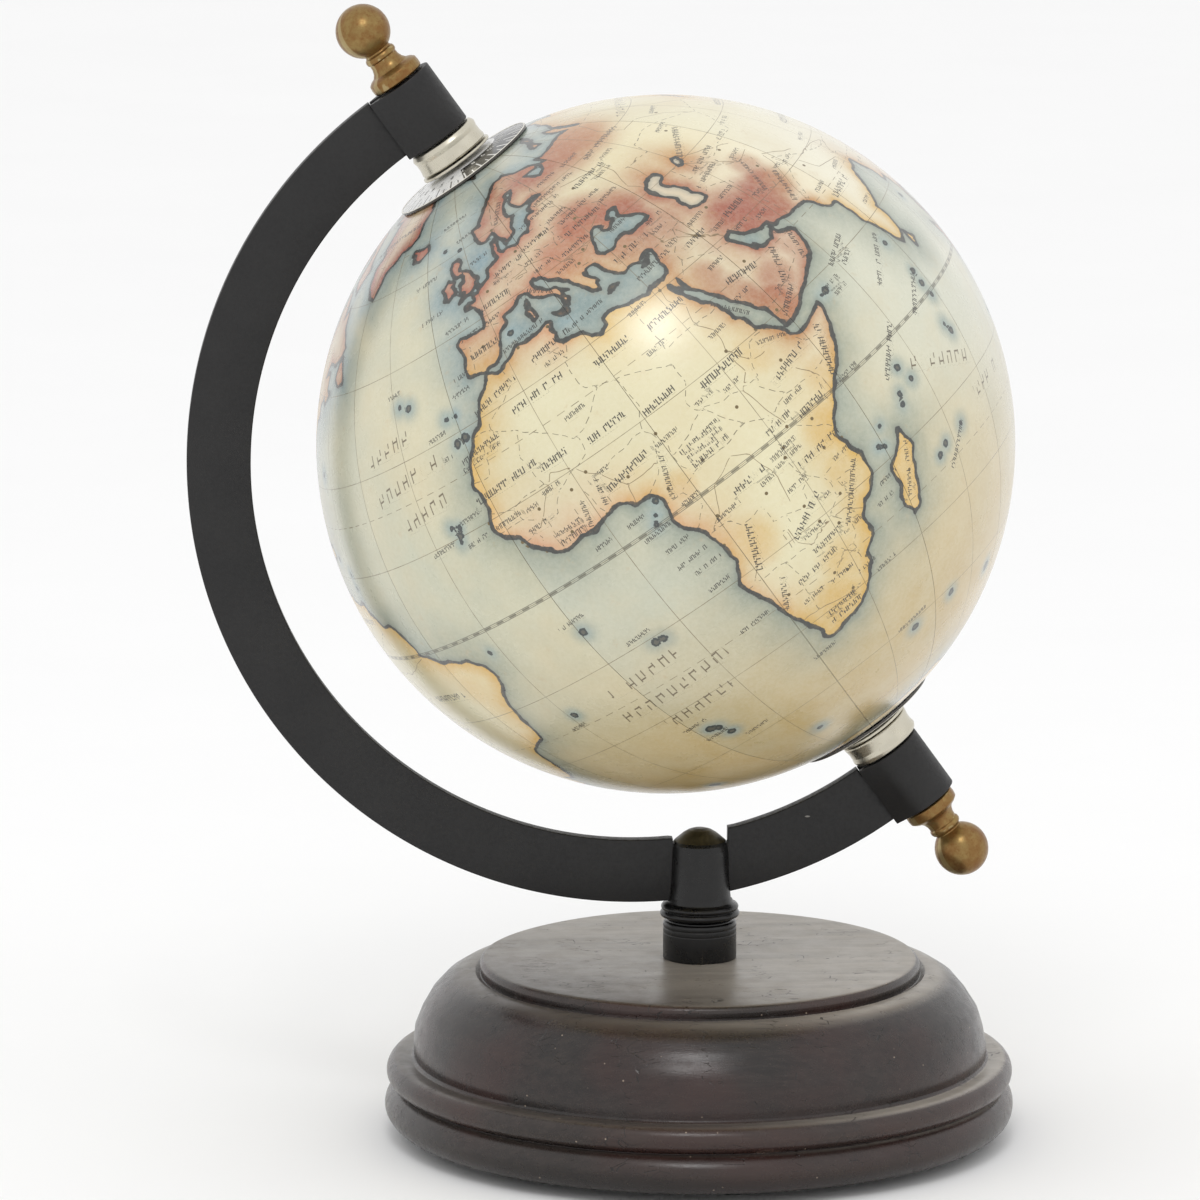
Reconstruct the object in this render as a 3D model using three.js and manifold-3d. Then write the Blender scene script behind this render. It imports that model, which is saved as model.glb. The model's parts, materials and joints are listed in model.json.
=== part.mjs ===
// Desktop globe on a turned wooden stand, 5 inch ball, leaning polar axle. Millimetres, +Z up.
// Origin: the centre of the object's footprint box, on the surface that the feet stand on.
// Each piece is placed from the round base's own axis, and the whole group is then moved along
// X by BASE_AXIS_X. The polar axle lies in the XZ plane, its north end leaning towards -X.
import * as THREE from "three";
import { mergeVertices } from "three/addons/utils/BufferGeometryUtils.js";
import Module from "manifold-3d";

const wasm = await Module();
wasm.setup();

// ---------- driving dimensions ----------
const GAP = 0.3; // clearance between pieces that touch on the real object
const BASE_AXIS_X = 17.8; // the base's axis, from the middle of the footprint box

const GLOBE_RADIUS = 63.5; // 127 mm (5 inch) ball
const GLOBE_X = -6.4; // the ball hangs a little off the base's axis
const GLOBE_Z = 128.6;
const AXIS_TILT = THREE.MathUtils.degToRad(35.8); // polar axle from the vertical

const GORE_COUNT = 12; // printed paper gores, one for every 30 degrees of longitude
const GORE_THICKNESS = 0.4;
const GORE_END_COLATITUDE = 7; // degrees from the pole, under the hour dial
const GORE_STEPS = 16;
const ZERO_MERIDIAN = -102.9; // degrees about the axle, from local +X to the middle of gore 01
const SHELL_THICKNESS = 2.0;
const SHELL_SEGMENTS = 36; // three facets to a gore, so shell and gore facets stay parallel
const POLE_HOLE_RADIUS = 4.3;

const AXLE_RADIUS = 1.6;
const AXLE_HALF_LENGTH = 90.6;
const BORE_RADIUS = AXLE_RADIUS + GAP;

const DIAL_RADIUS = 13.7;
const DIAL_THICKNESS = 0.5;
const DIAL_HOLE_RADIUS = 2.4;
const SPACER_RADIUS = 7.1;
const SPACER_THICKNESS = 0.5;
const BUSHING_RADIUS = 6.75;

const COLLAR_START = 69.9; // distance of the collar's inner end from the ball's centre
const COLLAR_END = 82.1;
const COLLAR_RADIUS = 6.0; // round nose of the collar, around the axle
const COLLAR_SEAM = 6.8; // distance from the axle to the seam with the arm
const COLLAR_SEAM_HALF = 2.6; // half thickness of the collar at that seam
const TONGUE_REACH = 2.6; // how far the arm's end enters the collar

const ARM_OUTER_RADIUS = 81.8;
const ARM_INNER_RADIUS = 70.2;
const ARM_THICKNESS = 3.0;
const ARM_OFFSET = 6.0; // arc centre from the ball's centre, away from the open side
const ARM_RISE = 0.6; // arc centre along the axle, towards the north end
const ARM_NOTCH = { left: -5.5, right: 5.4, floor: 54.6 }; // the stem head locks in this notch

const BASE_BOTTOM = 2.0;
const BASE_TOP = 33.0;
const STUD_RADIUS = 2.5;
const STUD_HOLE_RADIUS = STUD_RADIUS + GAP;
const COUNTERBORE_RADIUS = 9.0;
const COUNTERBORE_CEILING = 11.0;
const WASHER_RADIUS = 7.5;
const WASHER_THICKNESS = 1.2;
const NUT_ACROSS_FLATS = 8.0;
const NUT_HEIGHT = 4.0;
const STUD_BOTTOM = 3.6;
const STUD_TOP = 43.6;

const FOOT_COUNT = 4;
const FOOT_RADIUS = 6.2;
const FOOT_HEIGHT = BASE_BOTTOM - GAP;
const FOOT_CIRCLE_RADIUS = 42;
const FOOT_START_ANGLE = -86; // degrees, the foot nearest to the front

const FERRULE_RADIUS = 6.85;
const FERRULE_TOP = 39.9;
const FERRULE_NECK_TOP = 40.3;
const HEAD_BOTTOM = FERRULE_NECK_TOP + GAP;
const HEAD_DOME_TOP = 57.35;

// ---------- materials ----------
function surface(color, roughness, metalness) {
  return new THREE.MeshStandardMaterial({ color, roughness, metalness });
}
const finish = {
  wood: surface(0x3d3531, 0.55, 0.0),
  rubber: surface(0x17171a, 0.85, 0.0),
  steel: surface(0x9a9a98, 0.4, 1.0),
  blackMetal: surface(0x2b2a2a, 0.5, 0.6),
  armPaint: surface(0x3a3837, 0.6, 0.2),
  brass: surface(0x9a7a4c, 0.4, 1.0),
  nickel: surface(0xcfccc0, 0.25, 1.0),
  dialTin: surface(0xe8e8e6, 0.35, 0.2),
  shellPlastic: surface(0xd9d4c6, 0.7, 0.0),
  bearingPlastic: surface(0xf0eee6, 0.5, 0.0),
  printedPaper: surface(0xd8d2b4, 0.3, 0.0),
};

// ---------- geometry helpers ----------
// Keeps only positions, with shared vertices merged, as a solid for cutting and joining.
function solidOf(geometry) {
  const bare = geometry.clone();
  bare.deleteAttribute("normal");
  bare.deleteAttribute("uv");
  const merged = mergeVertices(bare, 1e-4);
  return new wasm.Manifold(
    new wasm.Mesh({
      numProp: 3,
      vertProperties: new Float32Array(merged.attributes.position.array),
      triVerts: new Uint32Array(merged.index.array),
    }),
  );
}

function geometryOf(solid) {
  const mesh = solid.getMesh();
  const geometry = new THREE.BufferGeometry();
  geometry.setAttribute("position", new THREE.BufferAttribute(mesh.vertProperties, 3));
  geometry.setIndex(new THREE.BufferAttribute(mesh.triVerts, 1));
  geometry.computeVertexNormals();
  return geometry;
}

// A solid of revolution about Z from [radius, height] points that climb along the outside.
function turned(profile, segments) {
  const points = profile.map(([radius, height]) => new THREE.Vector2(radius, height));
  return new THREE.LatheGeometry(points, segments).rotateX(Math.PI / 2);
}

// A plain disc or ring between two heights.
function ring(innerRadius, outerRadius, bottom, top, segments = 24) {
  return turned(
    [
      [innerRadius, bottom],
      [outerRadius, bottom],
      [outerRadius, top],
      [innerRadius, top],
      [innerRadius, bottom],
    ],
    segments,
  );
}

// Points of a circular arc in a profile, from one angle to another, in degrees.
function arc(centreRadius, centreHeight, radius, from, to, steps) {
  const points = [];
  for (let i = 0; i <= steps; i++) {
    const angle = THREE.MathUtils.degToRad(from + ((to - from) * i) / steps);
    points.push([
      centreRadius + radius * Math.cos(angle),
      centreHeight + radius * Math.sin(angle),
    ]);
  }
  return points;
}

// Points on a sphere about the origin, [radius, height], by colatitude in degrees.
function sphereArc(radius, fromColatitude, toColatitude, steps) {
  return arc(0, 0, radius, 90 - fromColatitude, 90 - toColatitude, steps);
}

const colatitudeAt = (distanceFromAxis, radius) =>
  THREE.MathUtils.radToDeg(Math.asin(distanceFromAxis / radius));

// ---------- scene graph ----------
const root = new THREE.Group();
root.position.x = BASE_AXIS_X;
const polar = new THREE.Group(); // local +Z is the polar axle, the origin is the ball's centre
polar.position.set(GLOBE_X, 0, GLOBE_Z);
polar.rotation.y = -AXIS_TILT;
root.add(polar);
const ball = new THREE.Group(); // what spins, with the map's zero meridian along local +X
ball.rotation.z = THREE.MathUtils.degToRad(ZERO_MERIDIAN);
polar.add(ball);

function add(parent, name, geometry, material) {
  const mesh = new THREE.Mesh(geometry, material);
  mesh.name = name;
  parent.add(mesh);
  return mesh;
}

// Adds a piece of the north end, and its twin turned end for end for the south end.
function addBothEnds(name, geometry, material, parent = polar) {
  add(parent, "north_" + name, geometry, material);
  add(parent, "south_" + name, geometry, material).rotation.x = Math.PI;
}

// ---------- turned base ----------
function makeBase() {
  const outline = [
    [STUD_HOLE_RADIUS, COUNTERBORE_CEILING],
    [COUNTERBORE_RADIUS, COUNTERBORE_CEILING],
    [COUNTERBORE_RADIUS, BASE_BOTTOM],
    [53.0, BASE_BOTTOM],
    ...arc(54.0, 6.0, 3.9, -75, 55, 5), // lower bead
    [55.6, 9.6], // groove between the beads
    ...arc(55.2, 12.3, 2.4, -50, 90, 5), // upper bead
    [52.7, 14.7], // crease at the foot of the bell
    [52.7, 17.0],
    [52.1, 20.4],
    [50.8, 23.8],
    [48.9, 26.8],
    [46.7, 29.1],
    [43.6, 30.5],
    [41.2, 30.6],
    [40.3, 30.0], // groove under the rim of the top disc
    [40.5, 31.6],
    ...arc(39.2, 31.7, 1.3, 20, 90, 3),
    [STUD_HOLE_RADIUS, BASE_TOP],
    [STUD_HOLE_RADIUS, COUNTERBORE_CEILING],
  ];
  return turned(outline, 44);
}
add(root, "turned_base", makeBase(), finish.wood);

for (let i = 0; i < FOOT_COUNT; i++) {
  const angle = THREE.MathUtils.degToRad(FOOT_START_ANGLE + (i * 360) / FOOT_COUNT);
  const foot = turned(
    [
      [0, 0],
      [FOOT_RADIUS - 0.5, 0],
      [FOOT_RADIUS, 0.5],
      [FOOT_RADIUS, FOOT_HEIGHT],
      [0, FOOT_HEIGHT],
    ],
    16,
  );
  add(root, "rubber_foot_" + (i + 1), foot, finish.rubber).position.set(
    FOOT_CIRCLE_RADIUS * Math.cos(angle),
    FOOT_CIRCLE_RADIUS * Math.sin(angle),
    0,
  );
}

// ---------- stud, washer and nut that clamp the stem to the base ----------
const washerBottom = COUNTERBORE_CEILING - GAP - WASHER_THICKNESS;
const nutBottom = washerBottom - GAP - NUT_HEIGHT;
const studRod = turned(
  [
    [0, STUD_BOTTOM],
    [STUD_RADIUS, STUD_BOTTOM],
    [STUD_RADIUS, STUD_TOP],
    [0, STUD_TOP],
  ],
  20,
);
add(root, "stem_stud", studRod, finish.steel);
add(
  root,
  "stud_washer",
  ring(STUD_HOLE_RADIUS, WASHER_RADIUS, washerBottom, washerBottom + WASHER_THICKNESS),
  finish.steel,
);

function makeNut() {
  const outline = new THREE.Shape();
  const cornerRadius = NUT_ACROSS_FLATS / 2 / Math.cos(Math.PI / 6);
  for (let i = 0; i < 6; i++) {
    const angle = (i * Math.PI) / 3;
    const x = cornerRadius * Math.cos(angle);
    const y = cornerRadius * Math.sin(angle);
    if (i === 0) outline.moveTo(x, y);
    else outline.lineTo(x, y);
  }
  outline.closePath();
  outline.holes.push(new THREE.Path().absarc(0, 0, STUD_HOLE_RADIUS, 0, 2 * Math.PI, true));
  return new THREE.ExtrudeGeometry(outline, {
    depth: NUT_HEIGHT,
    bevelEnabled: false,
    curveSegments: 12,
  });
}
add(root, "stud_nut", makeNut(), finish.steel).position.z = nutBottom;

// ---------- stem: ferrule and slotted head ----------
const ferruleBottom = BASE_TOP + GAP;
const ferrule = turned(
  [
    [STUD_HOLE_RADIUS, ferruleBottom],
    [FERRULE_RADIUS - 0.3, ferruleBottom],
    [FERRULE_RADIUS, ferruleBottom + 0.3],
    [FERRULE_RADIUS, 37.1],
    [FERRULE_RADIUS - 0.25, 37.35], // two fine turned grooves
    [FERRULE_RADIUS, 37.6],
    [FERRULE_RADIUS, 38.3],
    [FERRULE_RADIUS - 0.25, 38.55],
    [FERRULE_RADIUS, 38.8],
    [FERRULE_RADIUS, FERRULE_TOP - 0.3],
    [FERRULE_RADIUS - 0.3, FERRULE_TOP],
    [6.0, FERRULE_TOP],
    [6.0, FERRULE_NECK_TOP],
    [STUD_HOLE_RADIUS, FERRULE_NECK_TOP],
    [STUD_HOLE_RADIUS, ferruleBottom],
  ],
  28,
);
add(root, "stem_ferrule", ferrule, finish.blackMetal);

// The arm's arc centre in the base's frame.
const arcCentreX = GLOBE_X - ARM_OFFSET * Math.cos(AXIS_TILT) - ARM_RISE * Math.sin(AXIS_TILT);
const arcCentreZ = GLOBE_Z - ARM_OFFSET * Math.sin(AXIS_TILT) + ARM_RISE * Math.cos(AXIS_TILT);

function makeStemHead() {
  const outline = [
    [0, HEAD_BOTTOM],
    [6.4, HEAD_BOTTOM],
    [7.3, 41.2], // flange of two beads
    [7.3, 41.7],
    [6.8, 42.1],
    [7.1, 42.5],
    [7.0, 43.0],
    [6.0, 43.6],
    [5.7, 45.5],
    [5.35, 49.0],
    [5.15, 53.8],
    [4.8, 55.0], // domed cap
    [3.5, 55.95],
    [2.5, 56.7],
    [1.3, HEAD_DOME_TOP - 0.15],
    [0, HEAD_DOME_TOP],
  ];
  const slotTop = ARM_NOTCH.floor + GAP;
  const slotBottom = STUD_TOP + GAP;
  const slotHeight = slotTop - slotBottom;
  const slot = new THREE.BoxGeometry(20, ARM_THICKNESS + 2 * GAP, slotHeight);
  slot.translate(0, 0, slotBottom + slotHeight / 2);
  const bore = turned(
    [
      [0, HEAD_BOTTOM - 1],
      [STUD_HOLE_RADIUS, HEAD_BOTTOM - 1],
      [STUD_HOLE_RADIUS, slotBottom + 0.4],
      [0, slotBottom + 0.4],
    ],
    20,
  );
  return geometryOf(solidOf(turned(outline, 28)).subtract(solidOf(slot)).subtract(solidOf(bore)));
}
add(root, "stem_head", makeStemHead(), finish.blackMetal);

// ---------- arm ----------
// A flat C cut from plate. Each end narrows to a straight tongue that enters its collar.
function makeArm() {
  const seam = -COLLAR_SEAM - GAP; // local X of the C's two square ends
  const tongueTip = seam + TONGUE_REACH;
  const tongueOuter = COLLAR_END - 1.2;
  const tongueInner = COLLAR_START + 1.2;
  const edgeAngle = (radius) => Math.acos((seam + ARM_OFFSET) / radius);
  const outline = new THREE.Shape();
  const outer = edgeAngle(ARM_OUTER_RADIUS);
  const inner = edgeAngle(ARM_INNER_RADIUS);
  outline.absarc(-ARM_OFFSET, ARM_RISE, ARM_OUTER_RADIUS, outer, 2 * Math.PI - outer, false);
  outline.lineTo(seam, -tongueOuter);
  outline.lineTo(tongueTip, -tongueOuter);
  outline.lineTo(tongueTip, -tongueInner);
  outline.lineTo(seam, -tongueInner);
  outline.absarc(-ARM_OFFSET, ARM_RISE, ARM_INNER_RADIUS, 2 * Math.PI - inner, inner, true);
  outline.lineTo(seam, tongueInner);
  outline.lineTo(tongueTip, tongueInner);
  outline.lineTo(tongueTip, tongueOuter);
  outline.lineTo(seam, tongueOuter);
  outline.closePath();
  const plate = new THREE.ExtrudeGeometry(outline, {
    depth: ARM_THICKNESS,
    bevelEnabled: false,
    curveSegments: 40,
  });
  plate.translate(0, 0, -ARM_THICKNESS / 2);
  plate.rotateX(Math.PI / 2);
  plate.rotateY(-AXIS_TILT);
  plate.translate(GLOBE_X, 0, GLOBE_Z);

  const notchHeight = 6;
  const notch = new THREE.BoxGeometry(
    ARM_NOTCH.right - ARM_NOTCH.left,
    2 * ARM_THICKNESS,
    notchHeight,
  );
  notch.translate(
    (ARM_NOTCH.right + ARM_NOTCH.left) / 2,
    0,
    ARM_NOTCH.floor + notchHeight / 2,
  );
  return geometryOf(solidOf(plate).subtract(solidOf(notch)));
}
add(root, "globe_arm", makeArm(), finish.armPaint);

// ---------- collars that hold the axle on the arm's ends ----------
// The section is a round nose about the axle with two flats that close in on the arm.
function makeCollar() {
  const seamDistance = Math.hypot(COLLAR_SEAM, COLLAR_SEAM_HALF);
  const seamAngle = Math.atan2(COLLAR_SEAM_HALF, -COLLAR_SEAM);
  const tangentAngle = seamAngle - Math.acos(COLLAR_RADIUS / seamDistance);
  const slotHalf = ARM_THICKNESS / 2 + GAP;
  const slotEnd = -COLLAR_SEAM + TONGUE_REACH;
  const section = new THREE.Shape();
  section.moveTo(-COLLAR_SEAM, -COLLAR_SEAM_HALF);
  section.absarc(0, 0, COLLAR_RADIUS, -tangentAngle, tangentAngle, false);
  section.lineTo(-COLLAR_SEAM, COLLAR_SEAM_HALF);
  section.lineTo(-COLLAR_SEAM, slotHalf);
  section.lineTo(slotEnd, slotHalf);
  section.lineTo(slotEnd, -slotHalf);
  section.lineTo(-COLLAR_SEAM, -slotHalf);
  section.closePath();
  section.holes.push(new THREE.Path().absarc(0, 0, BORE_RADIUS, 0, 2 * Math.PI, true));
  return new THREE.ExtrudeGeometry(section, {
    depth: COLLAR_END - COLLAR_START,
    bevelEnabled: false,
    curveSegments: 14,
  });
}
addBothEnds("collar", makeCollar().translate(0, 0, COLLAR_START), finish.armPaint);

// ---------- axle and finials ----------
const axle = turned(
  [
    [0, -AXLE_HALF_LENGTH],
    [AXLE_RADIUS, -AXLE_HALF_LENGTH],
    [AXLE_RADIUS, AXLE_HALF_LENGTH],
    [0, AXLE_HALF_LENGTH],
  ],
  16,
);
add(polar, "polar_axle", axle, finish.steel);

function makeFinial() {
  const boreDepth = 9;
  const ballRadius = 4.95;
  const ballCentre = 11.0;
  const ballStart = -62; // degrees below the ball's equator, where the neck ends
  const outline = [
    [0, boreDepth],
    [BORE_RADIUS, boreDepth],
    [BORE_RADIUS, 0],
    [4.7, 0],
    [5.0, 0.4],
    [5.0, 2.1],
    [4.6, 2.6],
    [3.4, 3.0],
    [2.7, 3.7],
    [2.45, 4.5],
    [2.5, 5.1],
    [2.95, 5.5], // ring below the ball
    [2.95, 6.1],
    [2.5, 6.5],
    ...arc(0, ballCentre, ballRadius, ballStart, 90, 7),
  ];
  outline[outline.length - 1][0] = 0;
  return turned(outline, 20);
}
addBothEnds("finial", makeFinial().translate(0, 0, COLLAR_END + GAP), finish.brass);

// ---------- bushings, friction spacers and hour dials ----------
const dialInner = GLOBE_RADIUS + GAP;
const dialOuter = dialInner + DIAL_THICKNESS;
const spacerStart = dialOuter + GAP;
const bushingStart = spacerStart + SPACER_THICKNESS + GAP;
const bushingEnd = COLLAR_START - GAP;

const bushing = turned(
  [
    [BORE_RADIUS, bushingStart],
    [BUSHING_RADIUS - 0.2, bushingStart],
    [BUSHING_RADIUS, bushingStart + 0.3],
    [BUSHING_RADIUS - 0.25, (bushingStart + bushingEnd) / 2], // slight waist
    [BUSHING_RADIUS, bushingEnd - 1.0],
    [BUSHING_RADIUS - 0.3, bushingEnd - 0.3],
    [BUSHING_RADIUS - 0.9, bushingEnd],
    [BORE_RADIUS, bushingEnd],
    [BORE_RADIUS, bushingStart],
  ],
  24,
);
addBothEnds("bushing", bushing, finish.nickel);
addBothEnds(
  "spacer",
  ring(BORE_RADIUS, SPACER_RADIUS, spacerStart, spacerStart + SPACER_THICKNESS),
  finish.nickel,
);

function makeDial() {
  const steps = 3;
  const near = colatitudeAt(DIAL_HOLE_RADIUS, dialInner);
  const far = colatitudeAt(DIAL_RADIUS, dialInner);
  const under = sphereArc(dialInner, near, far, steps);
  const upper = sphereArc(dialOuter, far, near, steps);
  return turned([...under, ...upper, under[0]], SHELL_SEGMENTS);
}
addBothEnds("dial", makeDial(), finish.dialTin);

// ---------- the ball: two moulded half shells, joining ring and pole bearings ----------
const shellOuter = GLOBE_RADIUS - GORE_THICKNESS - GAP;
const shellInner = shellOuter - SHELL_THICKNESS;
const facetTurn = Math.PI / SHELL_SEGMENTS; // brings the shell's facets in line with the gores'

function makeHemisphere() {
  const steps = 8;
  const equatorGap = THREE.MathUtils.radToDeg(GAP / 2 / shellOuter);
  const outerStart = colatitudeAt(POLE_HOLE_RADIUS, shellOuter);
  const innerStart = colatitudeAt(POLE_HOLE_RADIUS, shellInner);
  const outer = sphereArc(shellOuter, 90 - equatorGap, outerStart, steps);
  const inner = sphereArc(shellInner, innerStart, 90 - equatorGap, steps);
  return turned([...outer, ...inner, outer[0]], SHELL_SEGMENTS).rotateZ(facetTurn);
}
addBothEnds("hemisphere", makeHemisphere(), finish.shellPlastic, ball);

const joinOuter = shellInner - 0.6;
const joinThickness = 1.8;
const joinHalfWidth = 5;
const joiningRing = ring(
  joinOuter - joinThickness,
  joinOuter,
  -joinHalfWidth,
  joinHalfWidth,
  SHELL_SEGMENTS,
);
add(ball, "joining_ring", joiningRing.rotateZ(facetTurn), finish.shellPlastic);

const bearing = turned(
  [
    [BORE_RADIUS, shellInner - 2.0],
    [6.5, shellInner - 2.0],
    [6.5, shellInner - 0.8],
    [POLE_HOLE_RADIUS - GAP, shellInner - 0.8],
    [POLE_HOLE_RADIUS - GAP, shellOuter],
    [BORE_RADIUS, shellOuter],
    [BORE_RADIUS, shellInner - 2.0],
  ],
  20,
);
addBothEnds("pole_bearing", bearing, finish.bearingPlastic, ball);

// ---------- printed map gores ----------
// One gore is a thin patch of sphere between two meridians, from near pole to near pole.
function makeGore() {
  const across = SHELL_SEGMENTS / GORE_COUNT;
  const halfGap = THREE.MathUtils.radToDeg(GAP / 2 / GLOBE_RADIUS);
  const halfWidth = 180 / GORE_COUNT;
  const inner = GLOBE_RADIUS - GORE_THICKNESS;
  const positions = [];
  const index = [];
  const vertexAt = (layer, row, column) =>
    (layer * (GORE_STEPS + 1) + row) * (across + 1) + column;
  for (const radius of [inner, GLOBE_RADIUS]) {
    for (let row = 0; row <= GORE_STEPS; row++) {
      const span = 180 - 2 * GORE_END_COLATITUDE;
      const colatitude = GORE_END_COLATITUDE + (span * row) / GORE_STEPS;
      const polarAngle = THREE.MathUtils.degToRad(colatitude);
      const gapHere = halfGap / Math.sin(polarAngle);
      for (let column = 0; column <= across; column++) {
        const plain = -halfWidth + (2 * halfWidth * column) / across;
        const limit = halfWidth - gapHere;
        const longitude = THREE.MathUtils.clamp(plain, -limit, limit);
        const turn = THREE.MathUtils.degToRad(longitude);
        positions.push(
          radius * Math.sin(polarAngle) * Math.cos(turn),
          radius * Math.sin(polarAngle) * Math.sin(turn),
          radius * Math.cos(polarAngle),
        );
      }
    }
  }
  const quad = (a, b, c, d) => index.push(a, b, c, a, c, d);
  for (let row = 0; row < GORE_STEPS; row++) {
    for (let column = 0; column < across; column++) {
      const corners = (layer) => [
        vertexAt(layer, row, column),
        vertexAt(layer, row + 1, column),
        vertexAt(layer, row + 1, column + 1),
        vertexAt(layer, row, column + 1),
      ];
      quad(...corners(1));
      quad(...corners(0).reverse());
    }
  }
  for (let row = 0; row < GORE_STEPS; row++) {
    quad(vertexAt(0, row, 0), vertexAt(0, row + 1, 0), vertexAt(1, row + 1, 0), vertexAt(1, row, 0));
    quad(
      vertexAt(1, row, across),
      vertexAt(1, row + 1, across),
      vertexAt(0, row + 1, across),
      vertexAt(0, row, across),
    );
  }
  for (let column = 0; column < across; column++) {
    quad(
      vertexAt(0, 0, column),
      vertexAt(1, 0, column),
      vertexAt(1, 0, column + 1),
      vertexAt(0, 0, column + 1),
    );
    quad(
      vertexAt(1, GORE_STEPS, column),
      vertexAt(0, GORE_STEPS, column),
      vertexAt(0, GORE_STEPS, column + 1),
      vertexAt(1, GORE_STEPS, column + 1),
    );
  }
  const geometry = new THREE.BufferGeometry();
  geometry.setAttribute("position", new THREE.Float32BufferAttribute(positions, 3));
  geometry.setIndex(index);
  geometry.computeVertexNormals();
  return geometry;
}
for (let i = 0; i < GORE_COUNT; i++) {
  const name = "map_gore_" + String(i + 1).padStart(2, "0");
  const gore = add(ball, name, makeGore(), finish.printedPaper);
  gore.rotation.z = (i * 2 * Math.PI) / GORE_COUNT;
}

export default root;
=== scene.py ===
"""Looks of a desktop globe on a turned wooden stand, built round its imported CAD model.

Pieces are modelled in millimetres and placed in the row frame, which is in metres.
"""

import json
import math

import bmesh
import bpy
import numpy as np
from mathutils import Matrix, Vector


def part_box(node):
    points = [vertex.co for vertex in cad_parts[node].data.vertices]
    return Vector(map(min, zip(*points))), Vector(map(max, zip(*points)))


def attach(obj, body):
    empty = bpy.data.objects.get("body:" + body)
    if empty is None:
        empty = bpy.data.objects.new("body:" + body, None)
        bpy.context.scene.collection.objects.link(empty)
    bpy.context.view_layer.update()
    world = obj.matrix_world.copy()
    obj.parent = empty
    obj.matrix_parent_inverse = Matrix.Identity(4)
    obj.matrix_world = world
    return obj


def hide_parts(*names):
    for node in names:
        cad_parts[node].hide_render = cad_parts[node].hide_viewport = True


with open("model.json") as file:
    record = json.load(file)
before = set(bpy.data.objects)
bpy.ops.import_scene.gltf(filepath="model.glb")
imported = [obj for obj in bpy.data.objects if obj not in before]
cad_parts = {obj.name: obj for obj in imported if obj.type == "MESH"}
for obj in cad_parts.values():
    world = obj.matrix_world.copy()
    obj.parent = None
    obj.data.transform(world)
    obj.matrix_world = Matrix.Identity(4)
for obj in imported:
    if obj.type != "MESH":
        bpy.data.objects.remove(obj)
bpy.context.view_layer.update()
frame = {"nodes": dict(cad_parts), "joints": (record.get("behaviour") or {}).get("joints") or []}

MM = 0.001

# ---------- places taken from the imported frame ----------
spin = next(j for j in frame["joints"] if j["name"] == "globe_spin")
BALL_CENTRE = Vector(spin["pos_m"])
AXLE = Vector(spin["axis"]).normalized()
TILT = math.atan2(-AXLE.x, AXLE.z)
base_low, base_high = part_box("turned_base")
BASE_X = (base_low.x + base_high.x) / 2

# Local frames: +Z up the base's own axis, and +Z along the polar axle towards its north end.
BASE_FRAME = Matrix.Translation((BASE_X, 0, 0))
POLAR_FRAME = Matrix.Translation(BALL_CENTRE) @ Matrix.Rotation(-TILT, 4, "Y")
SOUTH_FRAME = POLAR_FRAME @ Matrix.Rotation(math.pi, 4, "X")

# ---------- driving sizes, millimetres ----------
GLOBE_RADIUS = 63.5
GORE_COUNT = 12
GORE_DEPTH = 0.35
GORE_END_COLATITUDE = 7.0
MAP_STEP = 0.5  # degrees between neighbouring points of the printed map
SEAM_GAP = 0.05
ZERO_MERIDIAN = -102.9  # degrees about the axle, where the map's longitude 0 lies
MM_PER_DEGREE = GLOBE_RADIUS * math.pi / 180

AXLE_BORE = 1.9
DIAL_RADIUS = 13.7
COLLAR_START, COLLAR_END = 69.9, 82.1
COLLAR_RADIUS = 6.0
COLLAR_SEAM, COLLAR_SEAM_HALF = 6.8, 2.6
ARM_CENTRE = (-6.0, 0.6)  # of the arm's circle, across and along the axle
ARM_OUTER_RADIUS, ARM_INNER_RADIUS = 81.8, 70.2
ARM_THICKNESS = 3.0
EDGE_ROUND = 0.2  # of the arm's and collars' rims
ARM_NOTCH = (-5.05, 5.05, 54.6)  # left, right and floor, from the base's axis


def srgb(red, green, blue, alpha=1.0):
    """A colour given as 0 to 255 display values, as linear values."""

    def linear(value):
        value /= 255
        return value / 12.92 if value <= 0.04045 else ((value + 0.055) / 1.055) ** 2.4

    return (linear(red), linear(green), linear(blue), alpha)


def rgb(red, green, blue):
    return np.array(srgb(red, green, blue)[:3])


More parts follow.
